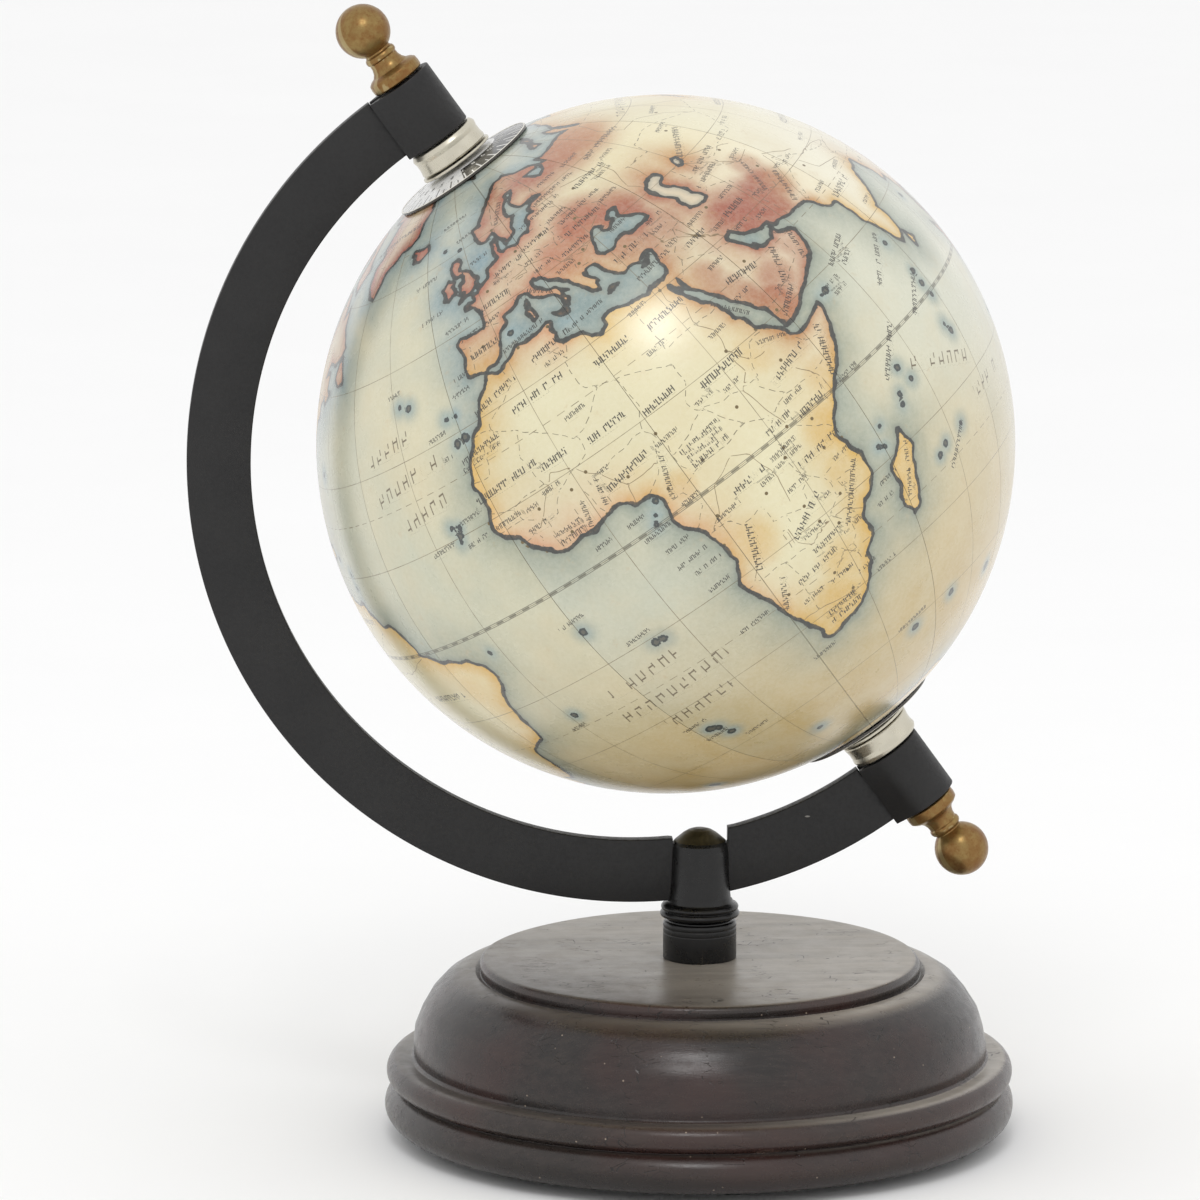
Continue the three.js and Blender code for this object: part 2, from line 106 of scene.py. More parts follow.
# ---------- material building ----------
class Shader:
    """One material's node tree, built with short calls. Values may be numbers or sockets."""

    def __init__(self, name):
        self.material = bpy.data.materials.new(name)
        self.material.use_nodes = True
        self.tree = self.material.node_tree
        self.tree.nodes.clear()
        self.bsdf = self.node("ShaderNodeBsdfPrincipled")
        output = self.node("ShaderNodeOutputMaterial")
        self.tree.links.new(self.bsdf.outputs[0], output.inputs[0])

    def node(self, kind, **settings):
        made = self.tree.nodes.new(kind)
        for key, value in settings.items():
            setattr(made, key, value)
        return made

    def put(self, socket, value):
        if isinstance(value, bpy.types.NodeSocket):
            self.tree.links.new(value, socket)
        else:
            socket.default_value = value

    def math(self, operation, a, b=0.0, clamp=False):
        made = self.node("ShaderNodeMath", operation=operation, use_clamp=clamp)
        self.put(made.inputs[0], a)
        self.put(made.inputs[1], b)
        return made.outputs[0]

    def times(self, *values):
        result = values[0]
        for value in values[1:]:
            result = self.math("MULTIPLY", result, value)
        return result

    def plus(self, a, b):
        return self.math("ADD", a, b)

    def minus(self, a, b):
        return self.math("SUBTRACT", a, b)

    def over(self, a, b):
        return self.math("DIVIDE", a, b)

    def above(self, a, b):
        """1 where a is greater than b, or else 0."""
        return self.math("GREATER_THAN", a, b)

    def below(self, a, b):
        return self.math("LESS_THAN", a, b)

    def larger(self, a, b):
        return self.math("MAXIMUM", a, b)

    def length(self, x, y):
        squares = self.times(x, x), self.times(y, y)
        return self.math("SQRT", self.plus(*squares))

    def between(self, value, low, high, out_low=0.0, out_high=1.0):
        """Smoothly maps value from low..high to out_low..out_high."""
        made = self.node("ShaderNodeMapRange", interpolation_type="SMOOTHSTEP")
        for socket, item in zip(made.inputs, (value, low, high, out_low, out_high)):
            self.put(socket, item)
        return made.outputs[0]

    def mix(self, factor, a, b, blend="MIX"):
        made = self.node("ShaderNodeMix", data_type="RGBA", blend_type=blend)
        self.put(made.inputs[0], factor)
        self.put(made.inputs[6], a)
        self.put(made.inputs[7], b)
        return made.outputs[2]

    def place(self, scale=(1.0, 1.0, 1.0)):
        """Object coordinates in millimetres, stretched by scale."""
        coordinates = self.node("ShaderNodeTexCoord").outputs["Object"]
        mapping = self.node("ShaderNodeMapping")
        self.put(mapping.inputs["Vector"], coordinates)
        mapping.inputs["Scale"].default_value = [1000 * s for s in scale]
        return mapping.outputs[0]

    def noise(self, where, scale, detail=4.0, roughness=0.6):
        made = self.node("ShaderNodeTexNoise")
        self.put(made.inputs["Vector"], where)
        made.inputs["Scale"].default_value = scale
        made.inputs["Detail"].default_value = detail
        made.inputs["Roughness"].default_value = roughness
        return made.outputs[0]

    def cells(self, where, scale):
        made = self.node("ShaderNodeTexVoronoi")
        self.put(made.inputs["Vector"], where)
        made.inputs["Scale"].default_value = scale
        return made.outputs["Distance"]

    def scatter(self, value, seed):
        """A random number from 0 to 1 for each whole value."""
        made = self.node("ShaderNodeTexWhiteNoise", noise_dimensions="2D")
        combined = self.node("ShaderNodeCombineXYZ")
        self.put(combined.inputs[0], value)
        self.put(combined.inputs[1], seed)
        self.put(made.inputs["Vector"], combined.outputs[0])
        return made.outputs["Value"]

    def attribute(self, name):
        return self.node("ShaderNodeAttribute", attribute_name=name)

    def parts(self, vector):
        made = self.node("ShaderNodeSeparateXYZ")
        self.put(made.inputs[0], vector)
        return made.outputs[0], made.outputs[1], made.outputs[2]

    def edges(self, low=0.5, high=0.6):
        """1 on convex edges, 0 on flats and in hollows."""
        return self.between(self.node("ShaderNodeNewGeometry").outputs["Pointiness"], low, high)

    def bump(self, height, distance_mm, strength=1.0):
        made = self.node("ShaderNodeBump")
        made.inputs["Strength"].default_value = strength
        made.inputs["Distance"].default_value = distance_mm * MM
        self.put(made.inputs["Height"], height)
        self.put(self.bsdf.inputs["Normal"], made.outputs[0])

    def finish(self, color, roughness, metallic=0.0, **more):
        self.put(self.bsdf.inputs["Base Color"], color)
        self.put(self.bsdf.inputs["Roughness"], roughness)
        self.bsdf.inputs["Metallic"].default_value = metallic
        for key, value in more.items():
            self.bsdf.inputs[key.replace("_", " ").title().replace("Ior", "IOR")].default_value = value
        return self.material


def wood_material():
    """Dark stained wood: grain along X, a dusty top with a painted sheen towards the back right, painted
    shade low down and in the hollows, hairline cracks, pale specks and satin wax.
    """
    shader = Shader("dark_stained_wood")
    grain_place = shader.place((0.07, 1.0, 1.0))
    place = shader.place()
    grain = shader.noise(grain_place, 0.8, 6.0, 0.6)
    streak = shader.noise(grain_place, 3.2, 4.0, 0.7)
    cloud = shader.noise(place, 0.045, 3.0, 0.5)
    color = shader.mix(shader.between(grain, 0.3, 0.75), srgb(24, 19, 18), srgb(43, 36, 33))
    color = shader.mix(shader.between(cloud, 0.4, 0.7, 0.0, 0.6), color, srgb(54, 28, 24))
    color = shader.mix(shader.between(streak, 0.56, 0.76, 0.0, 0.4), color, srgb(74, 64, 57))
    _, _, normal_up = shader.parts(shader.node("ShaderNodeNewGeometry").outputs["Normal"])
    dust_patches = shader.between(shader.noise(grain_place, 0.35, 5.0, 0.7), 0.3, 0.7, 0.72, 1.0)
    across, away, up = shader.parts(place)
    # Painted sheen: the dusty top is painted paler towards the back right, standing in for a reflection of
    # the bright surroundings.
    painted_sheen_side = shader.between(shader.plus(across, away), -50.0, 25.0)
    dust_and_sheen = shader.times(shader.between(normal_up, 0.8, 1.0, 0.0, 0.92), dust_patches)
    color = shader.mix(dust_and_sheen, color, shader.mix(painted_sheen_side, srgb(80, 74, 69), srgb(168, 161, 151)))
    # Painted shade: the base is darkened towards the floor, over its lowest bead.
    painted_low_shade = shader.between(up, 9.0, 4.0, 0.0, 0.6)
    color = shader.mix(painted_low_shade, color, srgb(10, 8, 7))
    color = shader.mix(shader.times(shader.edges(0.505, 0.55), 0.45), color, srgb(92, 74, 64))
    # Painted shade: hollows and grooves are darkened to a reddish brown.
    hollows = shader.between(shader.node("ShaderNodeNewGeometry").outputs["Pointiness"], 0.49, 0.44)
    color = shader.mix(shader.times(hollows, 0.7), color, srgb(30, 17, 14))
    cracks = shader.node("ShaderNodeTexVoronoi", feature="DISTANCE_TO_EDGE")
    shader.put(cracks.inputs["Vector"], shader.place((0.05, 0.12, 0.12)))
    wander = shader.between(shader.noise(place, 0.12, 4.0, 0.7), 0.54, 0.6)
    crack = shader.times(shader.between(cracks.outputs["Distance"], 0.03, 0.01), wander)
    color = shader.mix(shader.times(crack, 0.85), color, srgb(16, 12, 10))
    specks = shader.between(shader.cells(place, 0.3), 0.06, 0.03, 0.0, 0.7)
    color = shader.mix(specks, color, srgb(176, 158, 140))
    pores = shader.noise(grain_place, 6.0, 3.0, 0.6)
    height = shader.plus(shader.times(pores, 0.4), shader.times(streak, 0.6))
    height = shader.minus(height, shader.times(crack, 2.0))
    shader.bump(height, 0.07, 0.5)
    roughness = shader.between(shader.noise(place, 0.25, 5.0, 0.7), 0.3, 0.75, 0.21, 0.34)
    roughness = shader.plus(roughness, shader.times(dust_and_sheen, 0.1))
    return shader.finish(color, roughness, specular_ior_level=0.5)


def rubber_material():
    shader = Shader("black_rubber")
    place = shader.place()
    blotch = shader.noise(place, 0.9, 4.0)
    color = shader.mix(blotch, srgb(20, 20, 21), srgb(40, 39, 38))
    shader.bump(shader.noise(place, 6.0, 3.0), 0.06, 0.6)
    return shader.finish(color, shader.between(blotch, 0.3, 0.7, 0.7, 0.9))


def black_metal_material():
    shader = Shader("black_half_gloss_metal")
    place = shader.place()
    cloud = shader.noise(place, 0.4, 5.0)
    color = shader.mix(cloud, srgb(6, 6, 6), srgb(16, 15, 15))
    worn = shader.times(shader.edges(0.53, 0.6), shader.noise(place, 1.2, 4.0))
    color = shader.mix(shader.times(worn, 0.5), color, srgb(88, 80, 68))
    shader.bump(shader.noise(place, 3.5, 3.0), 0.02, 0.4)
    roughness = shader.between(cloud, 0.3, 0.7, 0.24, 0.38)
    return shader.finish(color, roughness, specular_ior_level=0.42)


def dome_material():
    shader = Shader("browned_dome_metal")
    place = shader.place()
    cloud = shader.noise(place, 0.7, 5.0)
    color = shader.mix(cloud, srgb(44, 41, 28), srgb(84, 76, 54))
    shader.bump(shader.noise(place, 3.0, 3.0), 0.03, 0.5)
    return shader.finish(color, shader.between(cloud, 0.3, 0.7, 0.3, 0.5), 0.6)


def arm_material():
    shader = Shader("charcoal_matt_paint")
    place = shader.place()
    cloud = shader.noise(place, 0.08, 4.0)
    color = shader.mix(shader.between(cloud, 0.3, 0.7), srgb(16, 15, 16), srgb(24, 23, 23))
    scuffs = shader.between(shader.cells(shader.place((0.35, 1.0, 1.0)), 0.1), 0.022, 0.012, 0.0, 0.7)
    color = shader.mix(scuffs, color, srgb(150, 147, 142))
    shader.bump(shader.noise(place, 4.0, 3.0), 0.035, 0.6)
    roughness = shader.between(shader.noise(place, 1.5, 4.0), 0.3, 0.7, 0.42, 0.56)
    return shader.finish(color, roughness, specular_ior_level=0.45)


def brass_material():
    """Antiqued brass: olive where it is worn, copper-brown patina in patches."""
    shader = Shader("antique_brass")
    place = shader.place()
    patina = shader.noise(place, 0.3, 6.0, 0.7)
    mottle = shader.noise(place, 1.5, 5.0, 0.7)
    color = shader.mix(shader.between(patina, 0.35, 0.65), srgb(130, 94, 54), srgb(146, 122, 76))
    color = shader.mix(shader.between(mottle, 0.5, 0.74, 0.0, 0.6), color, srgb(112, 66, 32))
    color = shader.mix(shader.times(shader.edges(0.52, 0.6), 0.5), color, srgb(186, 172, 128))
    shader.bump(mottle, 0.03, 0.4)
    roughness = shader.between(mottle, 0.35, 0.75, 0.28, 0.44)
    return shader.finish(color, roughness, 0.85)


def nickel_material():
    shader = Shader("warm_nickel")
    place = shader.place()
    cloud = shader.noise(place, 0.3, 4.0)
    color = shader.mix(cloud, srgb(190, 184, 166), srgb(214, 209, 194))
    spots = shader.between(shader.noise(place, 1.6, 4.0, 0.7), 0.6, 0.75, 0.0, 0.4)
    color = shader.mix(spots, color, srgb(150, 138, 116))
    shader.bump(shader.noise(place, 2.2, 2.0), 0.008, 0.3)
    return shader.finish(color, shader.between(cloud, 0.3, 0.7, 0.24, 0.34), 1.0)


def steel_material():
    shader = Shader("zinc_plated_steel")
    place = shader.place()
    spangle = shader.cells(place, 0.8)
    color = shader.mix(spangle, srgb(150, 150, 148), srgb(182, 181, 174))
    shader.bump(shader.noise(place, 3.0, 3.0), 0.03, 0.5)
    return shader.finish(color, shader.between(spangle, 0.0, 1.0, 0.3, 0.5), 1.0)


def plastic_material(name, dark, light):
    shader = Shader(name)
    place = shader.place()
    cloud = shader.noise(place, 0.2, 4.0)
    shader.bump(shader.noise(place, 2.5, 3.0), 0.03, 0.5)
    return shader.finish(shader.mix(cloud, dark, light), shader.between(cloud, 0.3, 0.7, 0.45, 0.6))


DIAL_HOURS = 24
NUMERAL_RADIUS = 8.9
DIAL_BAND_START = 7.6  # the black half is a band outside this radius
DIAL_RIM = 0.24  # width of the raised rim
DIAL_BLACK_FROM = 268.0  # degrees about the axle, where the dial's black half begins


def dial_material():
    """Half white, half black enamel, with an hour tick every 15 degrees and a half-hour tick between, and a
    painted shadow under the rim.
    """
    shader = Shader("dial_enamel")
    x, y, _ = shader.parts(shader.attribute("disc").outputs["Vector"])
    radius = shader.length(x, y)
    turn = shader.math("DEGREES", shader.math("ARCTAN2", y, x))
    half_turn = shader.math("MODULO", shader.plus(turn, 720.0 - DIAL_BLACK_FROM), 360.0)
    black = shader.below(half_turn, 180.0)
    black = shader.times(black, shader.above(radius, DIAL_BAND_START))

    def ticks(step, start, half_width):
        """Radial lines every step degrees, from radius start outwards."""
        share = shader.math("FRACT", shader.plus(shader.over(turn, step), 0.5))
        off = shader.times(shader.math("ABSOLUTE", shader.minus(share, 0.5)), step)
        off_mm = shader.times(shader.times(off, math.pi / 180), radius)
        line = shader.between(off_mm, half_width + 0.04, half_width - 0.04)
        return shader.times(line, shader.above(radius, start))

    marks = shader.larger(ticks(15.0, 10.5, 0.15), ticks(7.5, 11.8, 0.11))
    face = shader.below(radius, DIAL_RADIUS - DIAL_RIM)
    marks = shader.times(marks, face)
    place = shader.place()
    grime = shader.noise(place, 0.6, 5.0)
    white = shader.mix(grime, srgb(214, 214, 212), srgb(232, 232, 229))
    dark = shader.mix(grime, srgb(26, 26, 27), srgb(44, 43, 43))
    ground = shader.mix(shader.times(black, face), white, dark)
    ink = shader.mix(black, srgb(30, 30, 32), srgb(226, 225, 220))
    color = shader.mix(marks, ground, ink)
    rim = shader.minus(1.0, face)
    color = shader.mix(rim, color, srgb(232, 228, 214))
    # Painted shadow: the dial's outer side is coloured dark, as the shadow under the raised rim.
    painted_rim_shadow = shader.above(radius, DIAL_RADIUS - 0.02)
    color = shader.mix(painted_rim_shadow, color, srgb(60, 56, 51))
    shader.bump(shader.noise(place, 2.0, 3.0), 0.02, 0.4)
    roughness = shader.between(grime, 0.3, 0.7, 0.22, 0.36)
    return shader.finish(color, roughness, coat_weight=0.4, coat_roughness=0.12)


def dial_numeral_material():
    """Ink that is dark on the dial's white half and pale on its black half."""
    shader = Shader("dial_numeral_ink")
    x, y, _ = shader.parts(shader.attribute("disc").outputs["Vector"])
    turn = shader.math("DEGREES", shader.math("ARCTAN2", y, x))
    half_turn = shader.math("MODULO", shader.plus(turn, 720.0 - DIAL_BLACK_FROM), 360.0)
    black = shader.below(half_turn, 180.0)
    fade = shader.noise(shader.place(), 3.0, 3.0)
    dark = shader.mix(fade, srgb(24, 24, 26), srgb(52, 50, 50))
    light = shader.mix(fade, srgb(214, 212, 205), srgb(236, 234, 228))
    return shader.finish(shader.mix(black, dark, light), shader.between(fade, 0.3, 0.7, 0.3, 0.45))


OCEAN_NAME_HEIGHT = 1.6  # names taller than this are widely spaced


def map_material():
    """Varnished printed paper. Vertex attributes carry the map, and nodes draw its lines and ageing."""
    shader = Shader("printed_map_paper")
    place = shader.place()
    longitude, latitude, coast = shader.parts(shader.attribute("geo").outputs["Vector"])
    land_color = shader.attribute("land").outputs["Color"]
    sea_color = shader.attribute("sea").outputs["Color"]
    fibre = shader.noise(place, 1.3, 6.0, 0.7)
    age = shader.noise(place, 0.09, 5.0, 0.6)
    foxing = shader.noise(place, 0.35, 4.0, 0.65)
    times = shader.times

    def gap(value, target):
        return shader.math("ABSOLUTE", shader.minus(value, target))

    def line(distance, half_width, soft=0.035):
        return shader.between(
            distance, shader.plus(half_width, soft), shader.minus(half_width, soft)
        )

    wiggle = shader.times(shader.minus(shader.noise(place, 1.1, 3.0), 0.5), 0.4)
    shore = shader.plus(coast, wiggle)
    on_land = shader.between(shore, -0.06, 0.06)
    ground = shader.mix(on_land, sea_color, land_color)
    ground = shader.mix(shader.between(age, 0.45, 0.72, 0.0, 0.22), ground, srgb(204, 184, 140))
    ground = shader.mix(shader.between(foxing, 0.6, 0.75, 0.0, 0.22), ground, srgb(186, 154, 104))
    ground = shader.mix(shader.between(fibre, 0.3, 0.7, 0.0, 0.1), ground, srgb(250, 246, 230))
    shade = times(shader.between(shore, -1.5, -0.1, 0.0, 0.5), shader.minus(1.0, on_land))
    ground = shader.mix(shade, ground, srgb(116, 124, 116))

    def grid_distance(value, step, mm_per_degree):
        share = shader.math("FRACT", shader.plus(shader.over(value, step), 0.5))
        return times(gap(share, 0.5), step, mm_per_degree)

    def dashes(value, period, share_on):
        return shader.below(shader.math("FRACT", shader.over(value, period)), share_on)

    shrink = shader.math("COSINE", shader.math("RADIANS", latitude))
    parallel_mm = times(shrink, MM_PER_DEGREE)
    meridians = line(grid_distance(longitude, 15.0, parallel_mm), 0.055)
    parallels = line(grid_distance(latitude, 15.0, MM_PER_DEGREE), 0.055)
    grid = shader.larger(meridians, parallels)
    size = shader.math("ABSOLUTE", latitude)
    for circle, period in ((23.44, 3.0), (66.56, 6.0)):
        dashed = times(line(times(gap(size, circle), MM_PER_DEGREE), 0.06), dashes(longitude, period, 0.55))
        grid = shader.larger(grid, dashed)
    fade = shader.between(shader.noise(place, 0.25, 3.0), 0.35, 0.65, 0.6, 0.95)
    color = shader.mix(times(grid, fade), ground, srgb(104, 88, 58))

    equator = times(size, MM_PER_DEGREE)
    rails = line(gap(equator, 0.3), 0.06)
    ties = times(line(equator, 0.22), dashes(longitude, 3.0, 0.5), 0.75)
    color = shader.mix(times(shader.larger(rails, ties), 0.85), color, srgb(74, 70, 54))

    stroke_x, stroke_y, stroke_gap = shader.parts(shader.attribute("stroke").outputs["Vector"])
    along, kind, dot_gap = shader.parts(shader.attribute("stroke_style").outputs["Vector"])
    stroke_off = shader.length(stroke_x, stroke_y)
    is_river = shader.above(kind, 0.5)
    dash = shader.larger(dashes(along, 1.9, 0.6), is_river)
    strokes = times(line(stroke_off, 0.06), shader.below(stroke_gap, 0.42), dash, on_land)
    stroke_color = shader.mix(is_river, srgb(92, 84, 62), srgb(118, 98, 64))
    color = shader.mix(times(strokes, 0.9), color, stroke_color)

    dot_x, dot_y, dot_radius = shader.parts(shader.attribute("dot").outputs["Vector"])
    dot_off = shader.length(dot_x, dot_y)
    near_dot = shader.below(dot_gap, shader.plus(dot_radius, 0.25))
    town = times(line(dot_off, 0.32, 0.05), shader.below(dot_radius, 0.4), near_dot)
    color = shader.mix(town, color, srgb(104, 86, 44))
    island_edge = shader.plus(dot_off, times(wiggle, 2.2))
    island_size = times(dot_radius, shader.above(dot_radius, 0.4), near_dot)
    island = shader.between(island_edge, island_size, shader.minus(island_size, 0.12))
    core = shader.below(island_edge, shader.minus(island_size, 0.5))
    color = shader.mix(times(island, 0.95), color, srgb(44, 50, 50))
    color = shader.mix(times(core, 0.5), color, srgb(112, 108, 92))

    label_x, label_y, height = shader.parts(shader.attribute("label").outputs["Vector"])
    half_length, pitch, seed = shader.parts(shader.attribute("label_style").outputs["Vector"])
    inside = times(
        shader.below(shader.math("ABSOLUTE", label_x), half_length),
        shader.below(shader.math("ABSOLUTE", label_y), times(height, 0.5)),
    )
    position = shader.over(shader.plus(label_x, 60.0), shader.larger(pitch, 0.2))
    cell = shader.math("FLOOR", position)
    share = shader.math("FRACT", position)
    level = shader.over(label_y, shader.larger(height, 0.2))
    pen = shader.math("MINIMUM", times(height, 0.088), 0.115)
    thick = shader.over(pen, shader.larger(pitch, 0.2))
    reach = shader.over(times(height, 0.46), shader.larger(pitch, 0.2))
    lean = times(level, 0.12)
    centre = shader.plus(0.5, lean)
    first_bar = times(
        line(gap(share, shader.minus(centre, times(reach, 0.55))), thick, 0.03),
        shader.below(level, shader.between(shader.scatter(cell, seed), 0.2, 0.8, 0.12, 0.5)),
    )
    second_chance = shader.scatter(cell, shader.plus(seed, 7.0))
    second_bar = times(
        line(gap(share, shader.plus(centre, times(reach, 0.55))), thick, 0.03),
        shader.above(level, shader.between(second_chance, 0.2, 0.8, -0.5, 0.1)),
    )
    speck_level = shader.between(shader.scatter(cell, shader.plus(seed, 13.0)), 0.0, 1.0, -0.42, 0.42)
    speck = times(
        line(gap(level, speck_level), 0.07, 0.02), line(gap(share, centre), times(reach, 0.5), 0.02)
    )
    word = shader.above(shader.scatter(cell, shader.plus(seed, 29.0)), 0.1)
    bars = shader.larger(first_bar, second_bar)
    letters = times(shader.larger(bars, speck), inside, word)
    is_ocean_name = shader.above(height, OCEAN_NAME_HEIGHT)
    ink = shader.mix(is_ocean_name, srgb(36, 32, 26), srgb(98, 84, 60))
    color = shader.mix(times(letters, 0.96), color, ink)

    shore_width = shader.between(shader.noise(place, 0.5, 3.0), 0.3, 0.7, 0.29, 0.45)
    shore_line = line(shader.math("ABSOLUTE", shore), shore_width, 0.07)
    ink_wear = shader.between(shader.noise(place, 0.9, 3.0), 0.25, 0.6, 0.84, 1.0)
    color = shader.mix(times(shore_line, ink_wear), color, srgb(50, 51, 47))

    shader.bump(shader.noise(place, 0.5, 3.0), 0.03, 0.25)
    roughness = shader.between(age, 0.3, 0.7, 0.24, 0.34)
    return shader.finish(color, roughness, specular_ior_level=0.5, coat_weight=0.9, coat_roughness=0.26)


# ---------- mesh building ----------
def piece(name, points, faces, body, place, materials, cad_node=None, slot=None, sharp=32):
    """Makes one shown piece from points in millimetres in a local frame, and lets it ride on a body."""
    mesh = bpy.data.meshes.new(name)
    mesh.from_pydata([tuple(p) for p in points], [], faces)
    return finish_piece(name, mesh, body, place, materials, cad_node, slot, sharp)


def finish_piece(name, mesh, body, place, materials, cad_node=None, slot=None, sharp=32):
    mesh.transform(place @ Matrix.Scale(MM, 4))
    mesh.shade_smooth()
    mesh.set_sharp_from_angle(angle=math.radians(sharp))
    mesh.validate()
    for material in materials:
        mesh.materials.append(material)
    made = bpy.data.objects.new(name, mesh)
    bpy.context.scene.collection.objects.link(made)
    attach(made, body)
    if cad_node:
        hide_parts(cad_node)
    return made


def rounded(outline, radius, closed=True, steps=4, sharper_than=25.0):
    """Rounds the corners of an outline with arcs. radius may be one number, or one for each point."""
    points = [Vector(p) for p in outline]
    count = len(points)
    radii = radius if isinstance(radius, (list, tuple)) else [radius] * count
    made = []
    for i, point in enumerate(points):
        before, after = points[i - 1], points[(i + 1) % count]
        at_end = not closed and i in (0, count - 1)
        back, on = before - point, after - point
        bend = 180 - math.degrees(back.angle(on)) if back.length and on.length else 0
        if at_end or bend < sharper_than or radii[i] <= 0:
            made.append(tuple(point))
            continue
        half = (math.pi - math.radians(bend)) / 2
        reach = min(radii[i] / math.tan(half), 0.48 * back.length, 0.48 * on.length)
        start, end = point + back.normalized() * reach, point + on.normalized() * reach
        for step in range(steps + 1):
            t = step / steps
            made.append(tuple(start * (1 - t) ** 2 + point * 2 * t * (1 - t) + end * t**2))
    return made


def arc(centre_radius, centre_height, radius, start, stop, steps):
    """Points of an arc in a profile, angles in degrees."""
    made = []
    for i in range(steps + 1):
        angle = math.radians(start + (stop - start) * i / steps)
        made.append((centre_radius + radius * math.cos(angle), centre_height + radius * math.sin(angle)))
    return made


def dense(outline, longest, closed=False):
    """Adds points so that no stretch of the outline is longer than longest."""
    made = []
    ends = list(zip(outline, outline[1:] + (outline[:1] if closed else [])))
    for a, b in ends:
        count = max(1, math.ceil(math.dist(a, b) / longest))
        for i in range(count):
            t = i / count
            made.append((a[0] + (b[0] - a[0]) * t, a[1] + (b[1] - a[1]) * t))
    if not closed:
        made.append(outline[-1])
    return made


def turned(profile, segments, closed=True):
    """Points and faces of a solid of revolution. An open profile starts and ends on the axis."""
    points, faces = [], []
    rows = len(profile)
    for radius, height in profile:
        for i in range(segments):
            angle = 2 * math.pi * i / segments
            points.append((radius * math.cos(angle), radius * math.sin(angle), height))
    for row in range(rows if closed else rows - 1):
        following = (row + 1) % rows
        for i in range(segments):
            j = (i + 1) % segments
            here, there = row * segments, following * segments
            faces.append((here + i, here + j, there + j, there + i))
    if not closed:
        faces.append(tuple(reversed(range(segments))))
        faces.append(tuple(range((rows - 1) * segments, rows * segments)))
    return points, faces


def offset_loop(loop, distance):
    """Moves a closed loop inwards by distance, its inside being on its left."""
    made = []
    for i, point in enumerate(loop):
        before, after = Vector(loop[i - 1]), Vector(loop[(i + 1) % len(loop)])
        here = Vector(point)
        first = (here - before).normalized()
        second = (after - here).normalized()
        left = Vector((-first.y - second.y, first.x + second.x))
        if left.length < 1e-6:
            left = Vector((-first.y, first.x))
        left.normalize()
        stretch = max(0.4, left.dot(Vector((-first.y, first.x))))
        made.append(tuple(here + left * (distance / stretch)))
    return made


def plate(name, loops, low, high, edge, body, place, materials, **more):
    """A flat plate between two heights with rounded rims. The first loop is outer, the rest are holes."""
    mesh_builder = bmesh.new()
    angles = np.linspace(0, math.pi / 2, 4)
    rims = [(edge * (1 - math.sin(a)), edge * (1 - math.cos(a))) for a in angles]
    levels = [(inset, low + rise) for rise, inset in reversed(rims)]
    levels += [(inset, high - rise) for rise, inset in rims]
    levels.sort(key=lambda item: item[1])
    caps = {0: [], len(levels) - 1: []}
    for loop in loops:
        rings = []
        for inset, height in levels:
            rings.append([mesh_builder.verts.new((x, y, height)) for x, y in offset_loop(loop, inset)])
        for a, b in zip(rings, rings[1:]):
            for i in range(len(loop)):
                j = (i + 1) % len(loop)
                mesh_builder.faces.new((a[i], a[j], b[j], b[i]))
        for level, edges in caps.items():
            ring = rings[level]
            edges += [mesh_builder.edges.get((ring[i], ring[(i + 1) % len(ring)])) for i in range(len(ring))]
    for edges in caps.values():
        bmesh.ops.triangle_fill(mesh_builder, use_beauty=True, edges=edges)
    bmesh.ops.recalc_face_normals(mesh_builder, faces=mesh_builder.faces)
    mesh = bpy.data.meshes.new(name)
    mesh_builder.to_mesh(mesh)
    mesh_builder.free()
    return finish_piece(name, mesh, body, place, materials, **more)


def add_vectors(mesh, name, values):
    """Stores one vector for each point of the mesh."""
    data = mesh.attributes.new(name, "FLOAT_VECTOR", "POINT")
    data.data.foreach_set("vector", np.asarray(values, np.float32).ravel())


def add_colors(mesh, name, values):
    data = mesh.attributes.new(name, "FLOAT_COLOR", "POINT")
    full = np.concatenate([values, np.ones((len(values), 1))], axis=1)
    data.data.foreach_set("color", full.astype(np.float32).ravel())


wood = wood_material()
rubber = rubber_material()
black_metal = black_metal_material()
dome_metal = dome_material()
arm_paint = arm_material()
brass = brass_material()
nickel = nickel_material()
steel = steel_material()
shell_plastic = plastic_material("moulded_shell_plastic", srgb(206, 200, 184), srgb(222, 217, 203))
bearing_plastic = plastic_material("white_bearing_plastic", srgb(228, 226, 218), srgb(240, 239, 233))
dial_enamel = dial_material()
dial_ink = dial_numeral_material()
map_paper = map_material()


